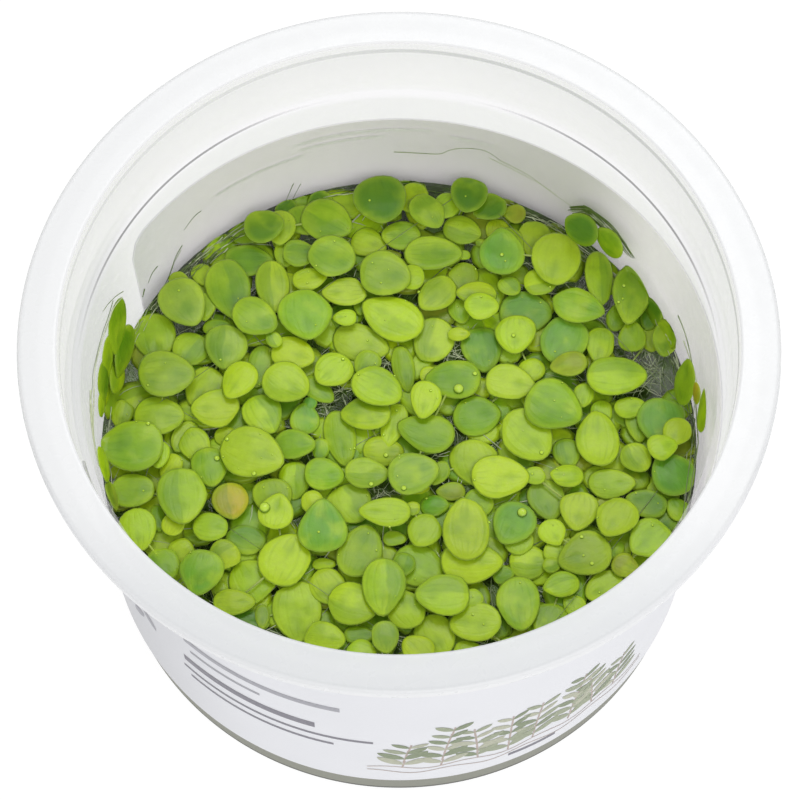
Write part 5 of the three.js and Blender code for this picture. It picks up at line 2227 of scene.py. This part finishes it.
@dataclass
class Drops:
    """Water drops that lie on the fronds, in millimetres. A placed drop is its X, Y and radius."""

    pieces: list[bpy.types.Object]
    small_count: int = 150
    small_reach: float = 43.0
    small_radii: Pair = (0.1, 0.24)
    flatness: float = 0.62
    lift: float = 0.12
    steepest: float = 0.8
    seed: int = 17
    placed: tuple[Triple, ...] = (
        (-27.5, -3.8, 0.5), (-21.8, -6.8, 0.4), (-26.0, -1.0, 0.35), (-2.0, -2.8, 0.4), (-4.2, -8.0, 0.4),
        (0.7, -9.2, 0.45), (9.1, 7.8, 0.85), (11.6, 10.4, 0.4), (-20.1, -12.3, 0.9), (18.4, -12.8, 0.8),
        (27.2, -16.7, 0.35), (28.6, -21.0, 0.35), (21.5, -2.8, 0.35), (16.0, 30.5, 0.35), (17.6, 17.0, 0.35),
        (34.8, 25.0, 0.3), (33.9, 22.2, 0.3), (-38.0, 1.5, 0.35), (-8.6, 13.0, 0.3), (3.1, 24.6, 0.3),
    )

    def surface(self) -> BVHTree:
        """Makes a search tree of all fronds.

        Returns:
            The tree.
        """
        verts, faces = [], []
        for piece in self.pieces:
            start = len(verts)
            verts.extend(vert.co.copy() for vert in piece.data.vertices)
            faces.extend([start + index for index in face.vertices] for face in piece.data.polygons)
        return BVHTree.FromPolygons(verts, faces)

    def add(self, bm: bmesh.types.BMesh, tree: BVHTree, x: float, y: float, radius: float) -> None:
        """Adds a drop where a plumb line meets a frond.

        Args:
            bm: The drops' bmesh.
            tree: Search tree of the fronds.
            x: The line's X.
            y: The line's Y.
            radius: The drop's radius.
        """
        spot, normal, _, _ = tree.ray_cast(Vector((x * MM, y * MM, 0.06)), Vector((0, 0, -1)))
        if spot is None or normal.z < self.steepest:
            return
        size = radius * MM
        matrix = (
            Matrix.Translation(spot + normal * size * self.lift)
            @ normal.to_track_quat("Z", "Y").to_matrix().to_4x4()
            @ Matrix.Diagonal((size, size, size * self.flatness, 1))
        )
        crown = bm.verts.layers.float["crown"]
        for vert in bmesh.ops.create_uvsphere(bm, u_segments=12, v_segments=8, radius=1)["verts"]:
            vert[crown] = vert.co.z
            vert.co = matrix @ vert.co

    def build(self, finishes: Finishes) -> bpy.types.Object:
        """Makes the joined drops.

        Args:
            finishes: Every finish.

        Returns:
            The piece.
        """
        rng = random.Random(self.seed)
        tree = self.surface()
        bm = bmesh.new()
        bm.verts.layers.float.new("crown")
        for drop in self.placed:
            self.add(bm, tree, *drop)
        for _ in range(self.small_count):
            self.add(bm, tree, *scattered(rng, self.small_reach), rng.uniform(*self.small_radii))
        return finished("water_drops", mesh_of(bm, unit=1.0), finishes.drop, Slot.DROPLETS)


@dataclass
class Studio:
    """Camera at the photograph's angle, white sweep and soft lights.

    The camera's sizes are in millimetres and degrees, the lights' in metres. A light is its name, place, size
    and power.
    """

    rim_height: float = 67.0
    elevation: float = 62.98
    distance: float = 423.7
    pitch: float = 64.26
    yaw: float = 0.04
    focal_length: float = 135.0
    sensor: float = 36.0
    world_strength: float = 0.6
    floor_size: float = 3.0
    floor_drop: float = 0.0002
    aim: Triple = (0, 0, 0.03)
    lights: tuple[tuple[str, Triple, float, float], ...] = (
        ("key_light", (0.06, 0.34, 0.66), 0.32, 1.35),
        ("fill_light", (0.16, -0.45, 0.54), 0.5, 1.4),
    )

    def camera(self) -> None:
        """Makes the camera."""
        data = bpy.data.cameras.new("photo_camera")
        data.lens = self.focal_length
        data.sensor_width = self.sensor
        data.clip_start = 0.01
        camera = bpy.data.objects.new("photo_camera", data)
        bpy.context.scene.collection.objects.link(camera)
        elevation = math.radians(self.elevation)
        camera.location = (
            0, -self.distance * MM * math.cos(elevation),
            self.rim_height * MM + self.distance * MM * math.sin(elevation),
        )
        camera.rotation_euler = (math.radians(90 - self.pitch), 0, math.radians(-self.yaw))
        bpy.context.scene.camera = camera

    def area_light(self, name: str, spot: Triple, size: float, power: float) -> None:
        """Adds a square soft light that faces the cup.

        Args:
            name: Its name.
            spot: Its place.
            size: Its side.
            power: Its power in watts.
        """
        data = bpy.data.lights.new(name, "AREA")
        data.shape = "SQUARE"
        data.size = size
        data.energy = power
        lamp = bpy.data.objects.new(name, data)
        bpy.context.scene.collection.objects.link(lamp)
        lamp.location = spot
        lamp.rotation_euler = (Vector(self.aim) - Vector(spot)).to_track_quat("-Z", "Y").to_euler()

    def build(self, finishes: Finishes) -> None:
        """Makes the camera, lights, world and floor.

        Args:
            finishes: Every finish.
        """
        self.camera()
        for light in self.lights:
            self.area_light(*light)
        world = bpy.data.worlds.new("soft_white")
        world.use_nodes = True
        sockets = world.node_tree.nodes["Background"].inputs
        sockets["Color"].default_value = (1, 1, 1, 1)
        sockets["Strength"].default_value = self.world_strength
        bpy.context.scene.world = world
        bpy.context.scene.view_settings.view_transform = "Standard"
        bm = bmesh.new()
        bmesh.ops.create_grid(bm, x_segments=1, y_segments=1, size=self.floor_size)
        bmesh.ops.translate(bm, vec=(0, 0, -self.floor_drop), verts=bm.verts)
        finished("studio_floor", mesh_of(bm, unit=1.0), finishes.floor, None)


def main() -> None:
    """Builds every piece in order."""
    logging.basicConfig(level=logging.INFO, format="%(name)s %(message)s")
    finishes = Finishes()
    Studio().build(finishes)
    Cup().build(finishes)
    label = WrapLabel()
    label.build(finishes)
    LabelPrint(label).build(finishes)
    Water().build(finishes)
    form = FrondForm()
    colonies = [
        FloatingColony(number, tuple(Frond(*row) for row in rows), form)
        for number, rows in enumerate(FLOATING_COLONIES, 1)
    ]
    pieces = [colony.build(finishes) for colony in colonies]
    for node, rows in LEANING_COLONIES.items():
        pieces.append(LeaningColony(node, tuple(LeaningFrond(*row) for row in rows), form).build(finishes))
    YoungFronds(FrondForm(segments=12, rings=4, rise=0.14, drop=0.12)).build(finishes)
    Roots(tuple(frond for colony in colonies for frond in colony.fronds)).build(finishes)
    Drops(pieces).build(finishes)


if __name__ == "__main__":
    main()
